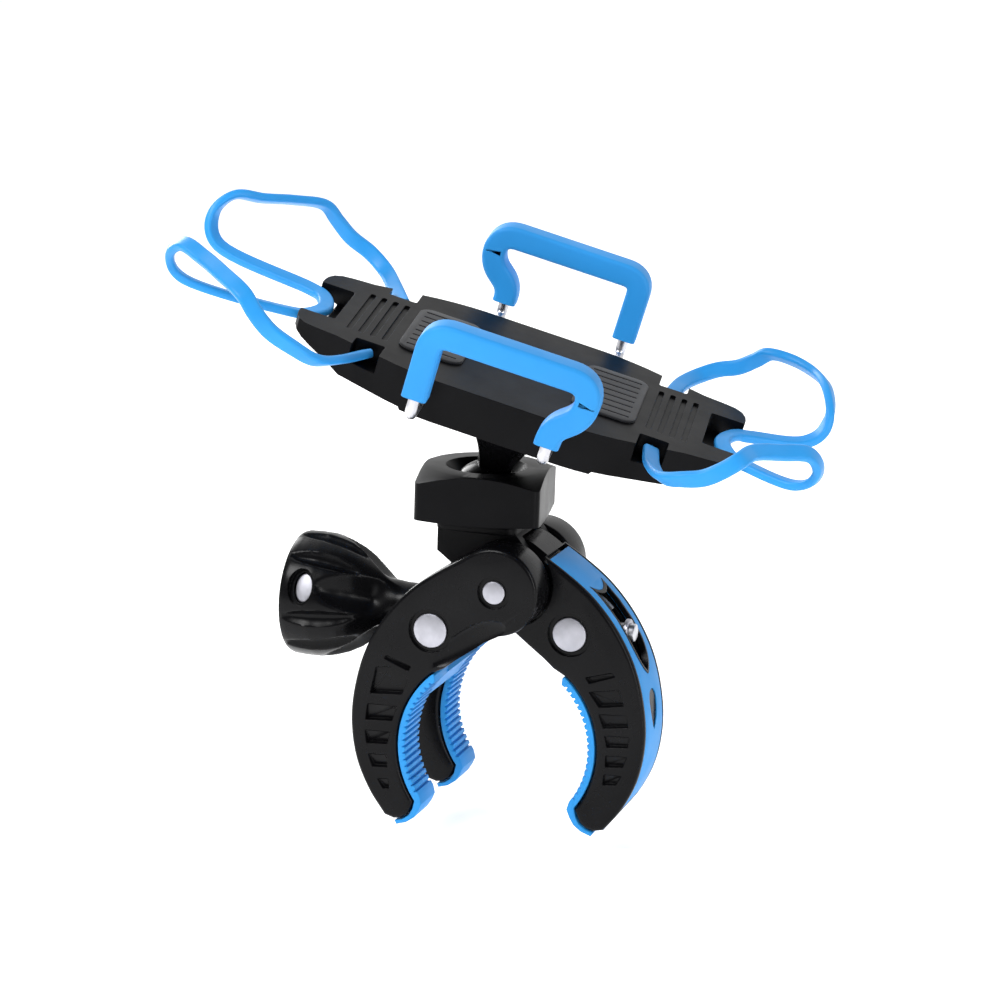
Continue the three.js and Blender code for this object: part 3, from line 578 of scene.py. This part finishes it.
# ---- grip pads -----------------------------------------------------------------
def pad_piece(name, outline, low, high):
    return slab_y(name, outline, low, high, 0.18, steps=2)


left_outline = mirrored(pad_outline())
front_pad = pad_piece("left_pad_front", left_outline, -FORK_HALF + 0.3, -FORK_GAP - 0.3)
rear_pad = pad_piece("left_pad_rear", left_outline, FORK_GAP + 0.3, FORK_HALF - 0.3)
bridge_area = mirrored(arc(PAD_R + 0.1, 48.5, 27, 12) + arc(IN_R - 0.3, 27, 48.5, 12))
bridge = slab_y("left_pad_bridge", bridge_area, -FORK_GAP - 1, FORK_GAP + 1)
finish_piece(front_pad, BLUE, "left_jaw", "blue_rubber", "pad_left", angle=28)
finish_piece(rear_pad, BLUE, "left_jaw", "blue_rubber", angle=28)
finish_piece(bridge, BLUE, "left_jaw", "blue_rubber", angle=28)
right_pad = pad_piece("right_pad", pad_outline(), -CLAW_HALF + 0.3, CLAW_HALF - 0.3)
finish_piece(right_pad, BLUE, "right_jaw", "blue_rubber", "pad_right", angle=28)


# ---- blue trim with its window -------------------------------------------------
def through_x(points):
    """A YZ outline pushed through the trim along X."""
    return loft("through", [[(x, y, z) for y, z in points] for x in (8.0, 40.0)], CLAMP)


def trim_window():
    top = [(4.1 * t, 0.2 - 1.4 * (1 - t * t)) for t in np.linspace(-1, 1, 15)]
    tail = [((1 - t) ** 2 * 4.1 + 2 * t * (1 - t) * 3.6 + t * t * 0.2,
             (1 - t) ** 2 * -11.5 + 2 * t * (1 - t) * -16.4 + t * t * -18.6) for t in np.linspace(0, 1, 12)]
    left = [(-y, z) for y, z in tail[::-1]] + [(-4.1, -8.0), (-4.1, -4.0)]
    return top + [(4.1, -4.0), (4.1, -8.0)] + tail + left


def drop_window():
    cap = [(2.5 * math.cos(a), -24.4 + 2.5 * math.sin(a)) for a in np.linspace(0, math.pi, 14)]
    return cap + [(-2.3, -26.4), (-1.7, -28.4), (-0.9, -30.0), (0, -31.0), (0.9, -30.0), (1.7, -28.4),
                  (2.3, -26.4)]


strip_out, strip_in = back_points()[3:65], back_points(1.4)[3:65]
strip = slab_y("trim_band", strip_out + strip_in[::-1], -6.5, 6.5, 0.3, steps=3)
strip = bool_op(strip, [through_x(trim_window()), through_x(drop_window())])
finish_piece(strip, BLUE, "right_jaw", "blue_rubber", "trim_strip", angle=30)


def back_x(z):
    """X of the claw's back at the height z."""
    backs = np.array(back_points())
    order = np.argsort(backs[:, 1])
    return float(np.interp(z, backs[order, 1], backs[order, 0]))


def rim_frame(name, outline, width):
    """Thin black lip that stands just inside a window of the trim, following the claw's back."""
    outer, inner = np.array(outline), inset(outline, width)
    rings = [[(back_x(z) - depth, y, z) for y, z in points]
             for points, depth in ((outer, 1.3), (outer, -0.12), (inner, -0.12), (inner, 1.3))]
    return loft(name, rings, CLAMP, closed=True)


def back_plug(name, outline, depth, thick):
    """Solid that fills a hole of the trim, a little below its surface."""
    rings = [[(back_x(z) - d, y, z) for y, z in outline] for d in (depth + thick, depth)]
    return loft(name, rings, CLAMP)


window_lip = rim_frame("window_lip", [tuple(p) for p in inset(trim_window(), 0.04)], 0.6)
finish_piece(window_lip, BLACK, "right_jaw", "black_gloss", angle=35)
drop_plug = back_plug("drop_plug", [tuple(p) for p in inset(drop_window(), 0.03)], 0.2, 1.15)
finish_piece(drop_plug, BLACK, "right_jaw", "black_gloss", angle=35)


# ---- pins, screw, knob ---------------------------------------------------------
def pin(name, radius, half, x, z, body, node, hole=0.0):
    piece = rod(name, radius, -half, half, at=(x, z), rim=0.28, sides=72)
    if hole:
        piece = bool_op(piece, [rod("hole", hole, x - 8, x + 8, axis="x", at=(0, z))])
    return finish_piece(piece, STEEL, body, "steel", node, angle=30)


SCREW_R, SCREW_HOLE_R = 2.44, 2.65
pin("hinge_axle", HINGE_R, FORK_HALF - 0.1, 0, 0, "socket", "hinge_pin")
pin("barrel_pin_left", PIN_R, FORK_HALF - 0.1, -PIN_X, PIN_Z, "left_barrel", "barrel_left", SCREW_HOLE_R)
pin("barrel_pin_right", PIN_R, CLAW_HALF - 0.1, PIN_X, PIN_Z, "right_barrel", "barrel_right", SCREW_HOLE_R)


def threaded(name, radius, low, high, pitch=0.8, depth=0.32, sides=28):
    """A screw with a helical thread about X that runs out at both ends."""
    rings = []
    steps = int((high - low) / pitch * 8)
    for i in range(steps + 1):
        x = low + (high - low) * i / steps
        ring = []
        for k in range(sides):
            a = 2 * math.pi * k / sides
            phase = (x / pitch - a / (2 * math.pi)) % 1.0
            r = radius - depth * abs(2 * phase - 1) * min(1, (x - low) / 1.5, (high - x) / 1.5 + 0.3)
            ring.append((x, r * math.cos(a), PIN_Z + r * math.sin(a)))
        rings.append(ring)
    return loft(name, rings, CLAMP)


thread = threaded("screw_thread", SCREW_R, -10.0, 22.4)
finish_piece(thread, STEEL_SHAFT, "hand_screw", "steel", "clamp_screw", angle=50)
shank = rod("screw_shank", SCREW_R, -43.2, -9.9, axis="x", at=(0, PIN_Z), rim=0.2)
finish_piece(shank, STEEL_SHAFT, "hand_screw", "steel")
stub = rod("screw_stub", 1.95, 22.2, 26.6, axis="x", at=(0, PIN_Z), rim=0.35)
finish_piece(stub, STEEL_SHAFT, "hand_screw", "steel")
ring_profile = [(2.1, 24.25), (2.7, 24.25), (2.85, 24.4), (2.85, 25.1), (2.7, 25.25), (2.1, 25.25)]
end_ring = lathe("screw_ring", ring_profile, "x", (0, 0, PIN_Z), sides=64)
end_ring = bool_op(end_ring, [rod("hole", 2.0, 20, 28, axis="x", at=(0, PIN_Z))])
finish_piece(end_ring, STEEL, "hand_screw", "steel", "screw_end_ring")
washer_profile = [(4.8, -19.2), (5.0, -19.0), (5.0, -18.4), (4.8, -18.2)]
washer = lathe("thrust_ring", washer_profile, "x", (0, 0, PIN_Z), sides=64)
washer = bool_op(washer, [rod("hole", SCREW_HOLE_R, -22, -16, axis="x", at=(0, PIN_Z))])
finish_piece(washer, STEEL, "hand_screw", "steel", "thrust_washer")

KNOB = [(0.01, -51.9), (8.0, -51.8), (12.2, -51.5), (13.5, -51.0), (13.8, -50.2), (13.9, -47.5), (13.8, -44.5),
        (13.2, -41.6), (12.4, -39.0), (11.0, -36.2), (9.0, -33.4), (7.3, -31.0), (6.2, -29.4), (5.5, -28.2),
        (5.1, -27.2), (5.0, -26.4), (5.0, -19.5), (0.01, -19.5)]
KNOB_TURN = 20  # degrees that the scoops are turned about the screw, as in the photograph
NECK_R = 5.2
FLUTES = (29, 61)  # degrees from the scoop before them
SLUG_X = -46.2


def dense(profile, step=0.7):
    """The profile with points no further apart than about a step."""
    out = [profile[0]]
    for a, b in zip(profile, profile[1:]):
        length = math.hypot(b[0] - a[0], b[1] - a[1])
        count = max(1, int(length / step))
        out += [(a[0] + (b[0] - a[0]) * k / count, a[1] + (b[1] - a[1]) * k / count)
                for k in range(1, count + 1)]
    return out


def spindle(across, along, half_width, depth):
    """Depth of a long round-ended hollow at a spot; along runs from -1 to 1 between its ends."""
    if abs(along) >= 1:
        return 0.0
    width = half_width * math.sqrt(1 - along * along)
    return depth * max(0.0, 1 - (across / width) ** 2) * math.sqrt(1 - along * along)


def knob_shape(angle, radius, height):
    """Four broad scoops that run out at the neck, and two narrow flutes between each pair."""
    if radius < NECK_R or height < -51.6:
        return radius
    quarter = (math.degrees(angle) + KNOB_TURN) % 90
    fade = min(1.0, (radius - NECK_R) / 3.0)
    across = radius * math.radians(min(quarter, 90 - quarter))
    scoop = spindle(across, (height + 31.5) / 11.5, 4.7, 2.9) * fade
    flute = max(spindle(radius * math.radians(abs(quarter - centre)), (height + 42.5) / 7.6, 2.0, 1.5)
                for centre in FLUTES)
    return radius - max(scoop, flute)


def oval(half_x, half_z):
    return [(SLUG_X + half_x * math.cos(a), half_z * math.sin(a))
            for a in np.linspace(0, 2 * math.pi, 48, endpoint=False)]


# the oval pin lies across the knob, in line with two of its scoops
SLUG = CLAMP @ Matrix.Translation((0, 0, PIN_Z * MM)) @ Matrix.Rotation(math.radians(-KNOB_TURN), 4, "X")
knob = lathe("hand_knob", dense(KNOB), "x", (0, 0, PIN_Z), sides=300, shape=knob_shape)
knob = bool_op(knob, [slab_y("recess", oval(3.0, 4.1), -20, -12.2, matrix=SLUG),
                      slab_y("recess", oval(3.0, 4.1), 12.2, 20, matrix=SLUG),
                      slab_y("recess", oval(2.15, 3.4), -20, 20, matrix=SLUG)])
finish_piece(knob, BLACK, "hand_screw", "black_gloss", "knob", angle=38)
slug = slab_y("knob_slug", oval(2.05, 3.3), -11.4, 11.4, 0.35, SLUG)
finish_piece(slug, STEEL, "hand_screw", "steel", "knob_pin")


# ---- torsion spring ------------------------------------------------------------
COIL_R, COIL_LENGTH, COIL_ANGLE, COIL_START = 4.2, 4.32, 6.4 * math.pi, 0.6
coil_path = [(COIL_R * math.cos(COIL_START + t * COIL_ANGLE), (t - 0.5) * COIL_LENGTH,
              COIL_R * math.sin(COIL_START + t * COIL_ANGLE)) for t in np.linspace(0, 1, 140)]
coil = sweep("hinge_coil", coil_path, disc(0.55, 12), CLAMP)
finish_piece(coil, SPRING, "socket", "spring_steel", "torsion_spring")
right_leg = rounded_path([(6.0, 0.6, 1.2), (12.4, 2.4, -2.2, 2), (17.6, 2.5, -3.4, 2), (20.4, 2.5, -6.0)])
right_leg = sweep("coil_leg_right", right_leg, disc(0.5, 12), CLAMP)
finish_piece(right_leg, SPRING, "right_jaw", "spring_steel", "spring_leg_right")
left_leg = rounded_path([(-10.2, -1.2, 1.2), (-12.6, -1.2, -1.6, 1.5), (-15.4, -1.2, -4.9)])
left_leg = sweep("coil_leg_left", left_leg, disc(0.5, 12), CLAMP)
finish_piece(left_leg, SPRING, "left_jaw", "spring_steel", "spring_leg_left")


# ---- socket block --------------------------------------------------------------
block_outline = rounded_rect(BALL_X - 8.4, BALL_X + 9.8, -9.4, 9.4, 2.5)
block_top = slab_z("socket_body", block_outline, 10.2, BALL_UP - 4.7, 0.5)
neck_outline = [(-16.4, 11), (-16.4, 5.4), (-11.5, 1.8), (-7.4, -2.2), (0, -7.6), (6.5, -4), (7.4, 1.5),
                (4.4, 7), (1.0, 11)]
neck = slab_y("neck", neck_outline[::-1], -8.2, 8.2)
block = bool_op(block_top, [neck, rod("round", 7.8, -8.2, 8.2),
                            rod("collar", 9.2, 10.4, BALL_UP + 1.2, "z", (BALL_X, 0))], "UNION")
cup_profile = [(8.6 * math.sin(a), -8.6 * math.cos(a)) for a in np.linspace(0.01, math.pi - 0.01, 24)]
ball_cup = lathe("cup", cup_profile, "z", (BALL_X, 0, BALL_UP))
below = slab_y("below", [(-30, -30), (30, -30), (30, 3), (-30, 3)], -5.7, 5.7)
block = bool_op(block, [rod("lug", EAR_R + 0.5, -5.7, 5.7), below, ball_cup,
                        rod("mouth", 7.9, BALL_UP, BALL_UP + 4, "z", (BALL_X, 0)),
                        rod("bore", HINGE_BORE, -20, 20)])
finish_piece(block, SATIN, "socket", "black_satin", "socket_block", bevel=0.25)


# ---- lock nut and ball ---------------------------------------------------------
square = slab_z("nut_body", rounded_rect(-13.5, 13.5, -13.5, 13.5, 1.6, 8), -4.4, 6.3, matrix=NUT)
cone = [(0.01, -4.4), (13.6, -4.4), (18.4, -3.8), (18.4, 4.2), (13.1, 6.3), (0.01, 6.3)]
turned_form = lathe("form", cone, matrix=NUT, sides=160)
nut = bool_op(square, [turned_form], "INTERSECT")
hole = [(0.01, -6), (9.6, -6), (9.6, 1.9), (7.75, 2.2), (7.25, 3.3), (7.25, 3.9), (8.7, 5.9), (9.0, 6.6),
        (0.01, 6.6)]
nut = bool_op(nut, [lathe("hole", hole, matrix=NUT, sides=96)])
finish_piece(nut, CRADLE_BLACK, "nut", "black_gloss", "lock_nut", bevel=0.3, segments=3, angle=24)

seat_turns = [math.radians(a) for a in np.linspace(-62, -8, 16)]
seat_arc = [(8.42 * math.cos(a), 8.42 * math.sin(a)) for a in seat_turns]
seat_arc += [(7.62 * math.cos(a), 7.62 * math.sin(a)) for a in seat_turns[::-1]]
seat_rings = [[(x, y, h) for x, y in disc(r, 80)] for r, h in seat_arc]
friction_cup = loft("friction_cup", seat_rings, Matrix.Translation(BALL), closed=True)
finish_piece(friction_cup, DARK_RUBBER, "seat", "dark_rubber", "ball_seat")

ball_profile = [(7.5 * math.sin(a), -7.5 * math.cos(a)) for a in np.linspace(0.02, 2.62, 48)]
ball = lathe("ball", ball_profile, matrix=STUD)
NECK = [(3.2, 5.6), (3.9, 6.4), (4.2, 8.3), (5.5, 11.2), (7.3, 14.2), (9.1, 18.2), (9.55, 20.7)]


def octagon(angle, radius, _height):
    """Eight flats whose corners are slightly rounded off."""
    step = math.pi / 4
    local = (angle + step / 2) % step - step / 2
    flat = radius * math.cos(step / 2) / math.cos(local)
    return min(flat, radius * 0.985)


stud_neck = lathe("stud_neck", dense(NECK, 0.8), matrix=STUD, sides=128, shape=octagon)
stud = bool_op(ball, [stud_neck, rod("boss", 4.0, 19.8, 23.8, "z", matrix=STUD)], "UNION")
stud = bool_op(stud, [rod("hole", 1.45, 15, 32, "z", matrix=STUD)])
finish_piece(stud, BLACK, "stud", "black_gloss", "ball_stud", bevel=0.2, angle=28)
wash = bool_op(rod("stud_ring", 5.8, 24.1, 24.9, "z", rim=0.15, matrix=STUD),
               [rod("hole", 1.6, 20, 30, "z", matrix=STUD)])
finish_piece(wash, STEEL, "stud", "steel", "stud_washer")
bolt_profile = [(1.35, 15.8), (1.35, 25.2), (2.9, 25.25), (2.9, 26.0), (2.3, 26.6), (0.01, 26.7)]
head = lathe("stud_bolt", bolt_profile, matrix=STUD)
cross = [slab_z("slot", rounded_rect(-1.7, 1.7, -0.32, 0.32, 0.1), 25.9, 28,
                matrix=STUD @ Matrix.Rotation(a, 4, "Z")) for a in (0, math.pi / 2)]
finish_piece(bool_op(head, cross), STEEL, "stud", "steel", "stud_screw", angle=30)


# ---- cradle base ---------------------------------------------------------------
ROD_OUT, ROD_IN, ROD_Z = 16.7, 11.35, -5.0  # where the arms' wires enter the base


def base_outline():
    quarter = [(14, -24.5), (17.5, -24.2), (21, -23.6), (24, -22.9), (28, -21.6), (33, -19.9), (38, -18.2),
               (43, -17.5), (45.2, -16.9), (46.8, -15.6), (47.7, -13.6), (48, -11.5)]
    right = quarter + [(x, -y) for x, y in quarter[::-1]]
    return right + [(-x, y) for x, y in right[::-1]]


side_shape = [(-48, -2.6), (-35.5, -8.4), (-21, -9.0), (-20.6, -9.6), (20.6, -9.6), (21, -9.0), (35.5, -8.4),
              (48, -2.6), (48, -0.6), (-48, -0.6)]
base = slab_z("cradle_body", base_outline(), -12, 2, matrix=CRADLE)
base = bool_op(base, [slab_y("side", side_shape, -30, 30, matrix=CRADLE)], "INTERSECT")


def block_of(x0, x1, y0, y1, z0, z1, r=0.6):
    return slab_z("block", rounded_rect(x0, x1, y0, y1, r, 3), z0, z1, matrix=CRADLE)


# chambers of the arm mechanism, seat of the bottom plate, hole for the stud
tools = [block_of(8.2, 20, -21.2, 21.2, -7.9, -2.4), block_of(-20, -8.2, -21.2, 21.2, -7.9, -2.4),
         block_of(-20.65, 20.65, -20.15, 20.15, -12, -7.8, 2.1),
         rod("centre", 6.6, -8.5, -3.2, "z", matrix=CRADLE),
         block_of(8.2, 20, -19.8, 19.8, -9, -7.5), block_of(-20, -8.2, -19.8, 19.8, -9, -7.5)]
for sx in (-1, 1):
    for x in (ROD_OUT, -ROD_IN):
        low, high = (18, 30) if sx > 0 else (-30, -18)
        tools.append(rod("rod_hole", 1.35, low, high, at=(sx * x, ROD_Z), matrix=CRADLE, sides=32))
    # notches that hold the bands, on both sides and at the end
    for sy in (-1, 1):
        low, high = (15.5, 26) if sy > 0 else (-26, -15.5)
        tools.append(block_of(sx * 31 - 3.2, sx * 31 + 3.2, low, high, -4.6, 2))
    tools.append(block_of(*((40.5, 50) if sx > 0 else (-50, -40.5)), -9.4, 9.4, -4.6, 2))
    # shallow lightening pockets and ribs under the two ends
    for row in range(3):
        y = -13.5 + row * 9.5
        tools.append(block_of(*sorted((sx * 22.5, sx * 33.5)), y, y + 8, -14, -7.9, 1.2))
    # grip grooves across the top
    for row in range(4):
        x = sx * (29 + row * 2.6)
        tools.append(block_of(x - 0.6, x + 0.6, -12, 12, -1.1, 2, 0.5))
base = bool_op(base, tools)
finish_piece(base, CRADLE_BLACK, "cradle", "black_gloss", "cradle_base", bevel=0.35, angle=25)

panel = slab_z("under_panel", rounded_rect(-20.5, 20.5, -20, 20, 2), -10.2, -8.0, 0.3, CRADLE)
tools = [rod("centre", 4.15, -12, -6, "z", matrix=CRADLE)]
SCREWS = [(-5.4, -15.5), (5.4, -15.5), (-5.4, 15.5), (5.4, 15.5)]
for at in SCREWS:
    tools += [rod("head", 2.35, -12, -9.3, "z", at, matrix=CRADLE),
              rod("shank", 1.3, -12, -6, "z", at, matrix=CRADLE)]
finish_piece(bool_op(panel, tools), SATIN, "cradle", "black_satin", "cradle_bottom_plate")
SCREW_PROFILE = [(0.01, -10.15), (1.9, -10.1), (2.15, -9.9), (2.15, -9.35), (0.95, -9.3), (0.95, -3.8),
                 (0.01, -3.8)]
CROSS = (rounded_rect(-1.2, 1.2, -0.25, 0.25, 0.1), rounded_rect(-0.25, 0.25, -1.2, 1.2, 0.1))
for i, at in enumerate(SCREWS):
    head = lathe(f"panel_screw_{i + 1}", SCREW_PROFILE, at=(*at, 0), matrix=CRADLE, sides=48)
    slots = [slab_z("slot", [(at[0] + p[0], at[1] + p[1]) for p in outline], -12, -9.6, matrix=CRADLE)
             for outline in CROSS]
    finish_piece(bool_op(head, slots), STEEL, "cradle", "steel", f"base_screw_{i + 1}", angle=30)

for side, label in ((1, "right"), (-1, "left")):
    x0, x1 = sorted((side * 12, side * 26))
    pad = slab_z(f"rest_pad_{label}", rounded_rect(x0, x1, -13, 13, 3, 8), -0.58, 0, 0.2, CRADLE)
    grooves = [block_of(x0 + 1.5, x1 - 1.5, y - 0.35, y + 0.35, -0.25, 1, 0.3)
               for y in np.linspace(-10.5, 10.5, 8)]
    finish_piece(bool_op(pad, grooves), DARK_RUBBER, "cradle", "dark_rubber", f"face_pad_{label}")


# ---- arms ----------------------------------------------------------------------
ARM_Y, ARM_TOP = 36.5, 14.3
# the wire from inside the base round the arm, and the part of it that is coated
WIRE = [(-ROD_OUT, 10, ROD_Z), (-ROD_OUT, -ARM_Y, ROD_Z, 2.6), (-ROD_OUT, -ARM_Y, ARM_TOP, 4),
        (ROD_OUT, -ARM_Y, ARM_TOP, 4.6), (ROD_OUT, -ARM_Y, 7.2, 3), (ROD_IN, -ARM_Y, 2.6, 2.6),
        (ROD_IN, -ARM_Y, ROD_Z, 2.6), (ROD_IN, 10, ROD_Z)]
COAT = [(-ROD_OUT, -ARM_Y, -0.3), (-ROD_OUT, -ARM_Y, ARM_TOP, 4), (ROD_OUT, -ARM_Y, ARM_TOP, 4.6),
        (ROD_OUT, -ARM_Y, 7.2, 3), (ROD_IN, -ARM_Y, 2.6, 2.6), (ROD_IN, -ARM_Y, -0.9)]


def subdivided(path, step=1.5):
    """The path with points no further apart than about a step."""
    out = [np.array(path[0], float)]
    for a, b in zip(path, path[1:]):
        length = np.linalg.norm(np.array(b) - np.array(a))
        count = max(1, int(length / step))
        out += [np.array(a) + (np.array(b) - np.array(a)) * k / count for k in range(1, count + 1)]
    return out


COAT_SECTION = rounded_rect(-2.75, 2.75, -2.6, 2.6, 0.95, 5)
SPRING_R, SPRING_TURNS, SPRING_FROM, SPRING_LENGTH = 1.72, 7.5, -20.6, 28.8

for label, turn in (("front", Matrix.Identity(4)), ("rear", TURNED)):
    place = CRADLE @ turn
    body = f"{label}_arm"
    wire = sweep(f"{label}_rod", subdivided(rounded_path(WIRE, 10), 3), disc(1.2, 28), place)
    finish_piece(wire, STEEL_SHAFT, body, "steel", f"arm_{label}_wire")
    coat_path = subdivided(rounded_path(COAT, 10))
    coat = sweep(f"{label}_coating", coat_path, COAT_SECTION, place, side=lambda i, t: (0, 1, 0))
    finish_piece(coat, BLUE, body, "blue_rubber", f"arm_{label}_coat", bevel=0.35, angle=50, segments=3)
    for x, name in ((-ROD_OUT, "outer"), (ROD_IN, "inner")):
        collar = rod(f"{label}_collar_{name}", 2.25, 8.6, 9.8, at=(x, ROD_Z), rim=0.2, matrix=place)
        collar = bool_op(collar, [rod("hole", 1.26, 8, 11, at=(x, ROD_Z), matrix=place)])
        finish_piece(collar, STEEL, body, "steel", f"arm_{label}_collar_{name}")
        spiral = [(x + SPRING_R * math.cos(t * SPRING_TURNS * 2 * math.pi), SPRING_FROM + SPRING_LENGTH * t,
                   ROD_Z + SPRING_R * math.sin(t * SPRING_TURNS * 2 * math.pi))
                  for t in np.linspace(0, 1, 200)]
        coil = sweep(f"{label}_coil_{name}", spiral, disc(0.3, 8), place)
        finish_piece(coil, SPRING, "cradle", "spring_steel", f"arm_{label}_spring_{name}")


# ---- silicone bands ------------------------------------------------------------
PHONE_LENGTH, PHONE_THICK, PHONE_SHIFT = 138.1, 7.1, -5.7
UNDER = -2.6  # height of a band where it passes below the base's ends
SIDE_RUN = [(16, -26, -2.4), (13, -32.4, -1.6), (9.5, -34.6, 0.3), (5.5, -35, 2.2), (2.5, -35, 4.9),
            (0, -34.2, 7.6)]
ACROSS_GLASS = [(12.6, -28.8), (6.8, -23.3), (1.4, -19.6)]
ROUND_CORNER = [(9.8, -33.4), (4.4, -30), (0.9, -23)]
END_RUN = [(-1.3, -17, 5), (-0.9, -14.8, 1), (2.2, -13, -1.6)]


def band_corner(side, glass):
    """Half of a band on the -Y side, from its side notch to its end notch.

    Lengths in the lists run inward from the phone's end.
    """
    def inward(distance):
        return side * (PHONE_LENGTH / 2 - distance) + PHONE_SHIFT

    start, stretch = (19, 1.3) if side < 0 else (14.9, 1)
    return [(side * 31, -17.4, UNDER), *((inward(start + stretch * run), y, z) for run, y, z in SIDE_RUN),
            *((inward(distance), y, PHONE_THICK + 1.2) for distance, y in glass),
            *((inward(distance), y, z) for distance, y, z in END_RUN),
            (side * 50, -8.4, UNDER), (side * 46.8, -6.4, UNDER)]


STRAP_SECTION = rounded_rect(-0.95, 0.95, -1.75, 1.75, 0.7, 5)
for side, label in ((-1, "left"), (1, "right")):
    near = band_corner(side, ACROSS_GLASS)
    far = [(x, -y, z) for x, y, z in band_corner(side, ACROSS_GLASS if side < 0 else ROUND_CORNER)][::-1]
    route = smooth_curve([*near, (side * 44.6, 0, UNDER), *far], 10)
    centre_x = side * 40 + PHONE_SHIFT

    def strap_side(i, t, centre_x=centre_x, route=route):
        p = route[i]
        return np.array((0, 0, p[2] - 2.0)) * 0.9 + np.array((p[0] - centre_x, p[1], 0)) * 0.12

    strap = sweep(f"strap_{label}", route, STRAP_SECTION, CRADLE, side=strap_side)
    finish_piece(strap, SILICONE, "cradle", "blue_silicone", f"band_{label}", angle=60)


# ---- floor, light, camera ------------------------------------------------------
JAW_DROP = 0.0033  # room for the jaws' tips, which swing lower as the clamp closes
FLOOR_GAP = 0.0008
low = min(CAD_BOX[0][2], -0.0187) - JAW_DROP
floor = mesh_object("floor", [(-9, -9, 0), (9, -9, 0), (9, 9, 0), (-9, 9, 0)], [(0, 1, 2, 3)], None)
floor.location = (0, 0, low - FLOOR_GAP)
floor_material, tree, shader = new_material("studio_floor")
tree.links.new(ramp(tree, noise(tree, 3, 2), [(0.2, 0.93), (0.8, 0.97)]), shader.inputs["Base Color"])
shader.inputs["Roughness"].default_value = 0.35
shader.inputs["Specular IOR Level"].default_value = 0.2
shader.inputs["Emission Color"].default_value = (1, 1, 1, 1)
shader.inputs["Emission Strength"].default_value = 0.45
floor.data.materials.append(floor_material)

world = bpy.data.worlds.new("studio")
bpy.context.scene.world = world
world.use_nodes = True
tree = world.node_tree
coords = add_node(tree, "ShaderNodeTexCoord")
split = add_node(tree, "ShaderNodeSeparateXYZ")
tree.links.new(coords.outputs["Generated"], split.inputs["Vector"])
towards = add_node(tree, "ShaderNodeMapRange", From_Min=-1.0, From_Max=1.0)
tree.links.new(split.outputs["Y"], towards.inputs["Value"])
sky = ramp(tree, towards.outputs["Result"], [(0.0, 0.10), (0.45, 0.22), (0.78, 1.0)])
tree.links.new(sky, tree.nodes["Background"].inputs["Color"])
tree.nodes["Background"].inputs["Strength"].default_value = 1.0


def area_light(name, at, target, size, power):
    light = bpy.data.lights.new(name, "AREA")
    light.shape = "RECTANGLE"
    light.size, light.size_y = size
    light.energy = power
    obj = bpy.data.objects.new(name, light)
    obj.location = at
    obj.rotation_euler = (Vector(target) - Vector(at)).to_track_quat("-Z", "Y").to_euler()
    bpy.context.scene.collection.objects.link(obj)


area_light("key", (-0.38, -0.60, 0.70), (0, 0, 0.04), (0.5, 0.3), 8)
area_light("fill", (0.75, -0.45, 0.22), (0, 0, 0.03), (0.16, 0.6), 3)
area_light("rim", (-0.6, 0.45, 0.4), (0, 0, 0.05), (0.3, 0.5), 5)

bpy.context.scene.view_settings.view_transform = "Standard"

camera = bpy.data.objects.new("camera", bpy.data.cameras.new("camera"))
camera.data.lens = 97.2
camera.data.sensor_width = 36
camera.data.clip_start, camera.data.clip_end = 0.02, 10
# solved from the photograph
right = Vector((0.94465, 0.32632, 0.03398))
up = Vector((-0.10587, 0.20516, 0.97299))
back = Vector((0.31053, -0.92273, 0.22835))
camera.matrix_world = placed(Vector((0.17595, -0.53842, 0.18512)), right, up, back)
bpy.context.scene.collection.objects.link(camera)
bpy.context.scene.camera = camera

bpy.context.view_layer.update()
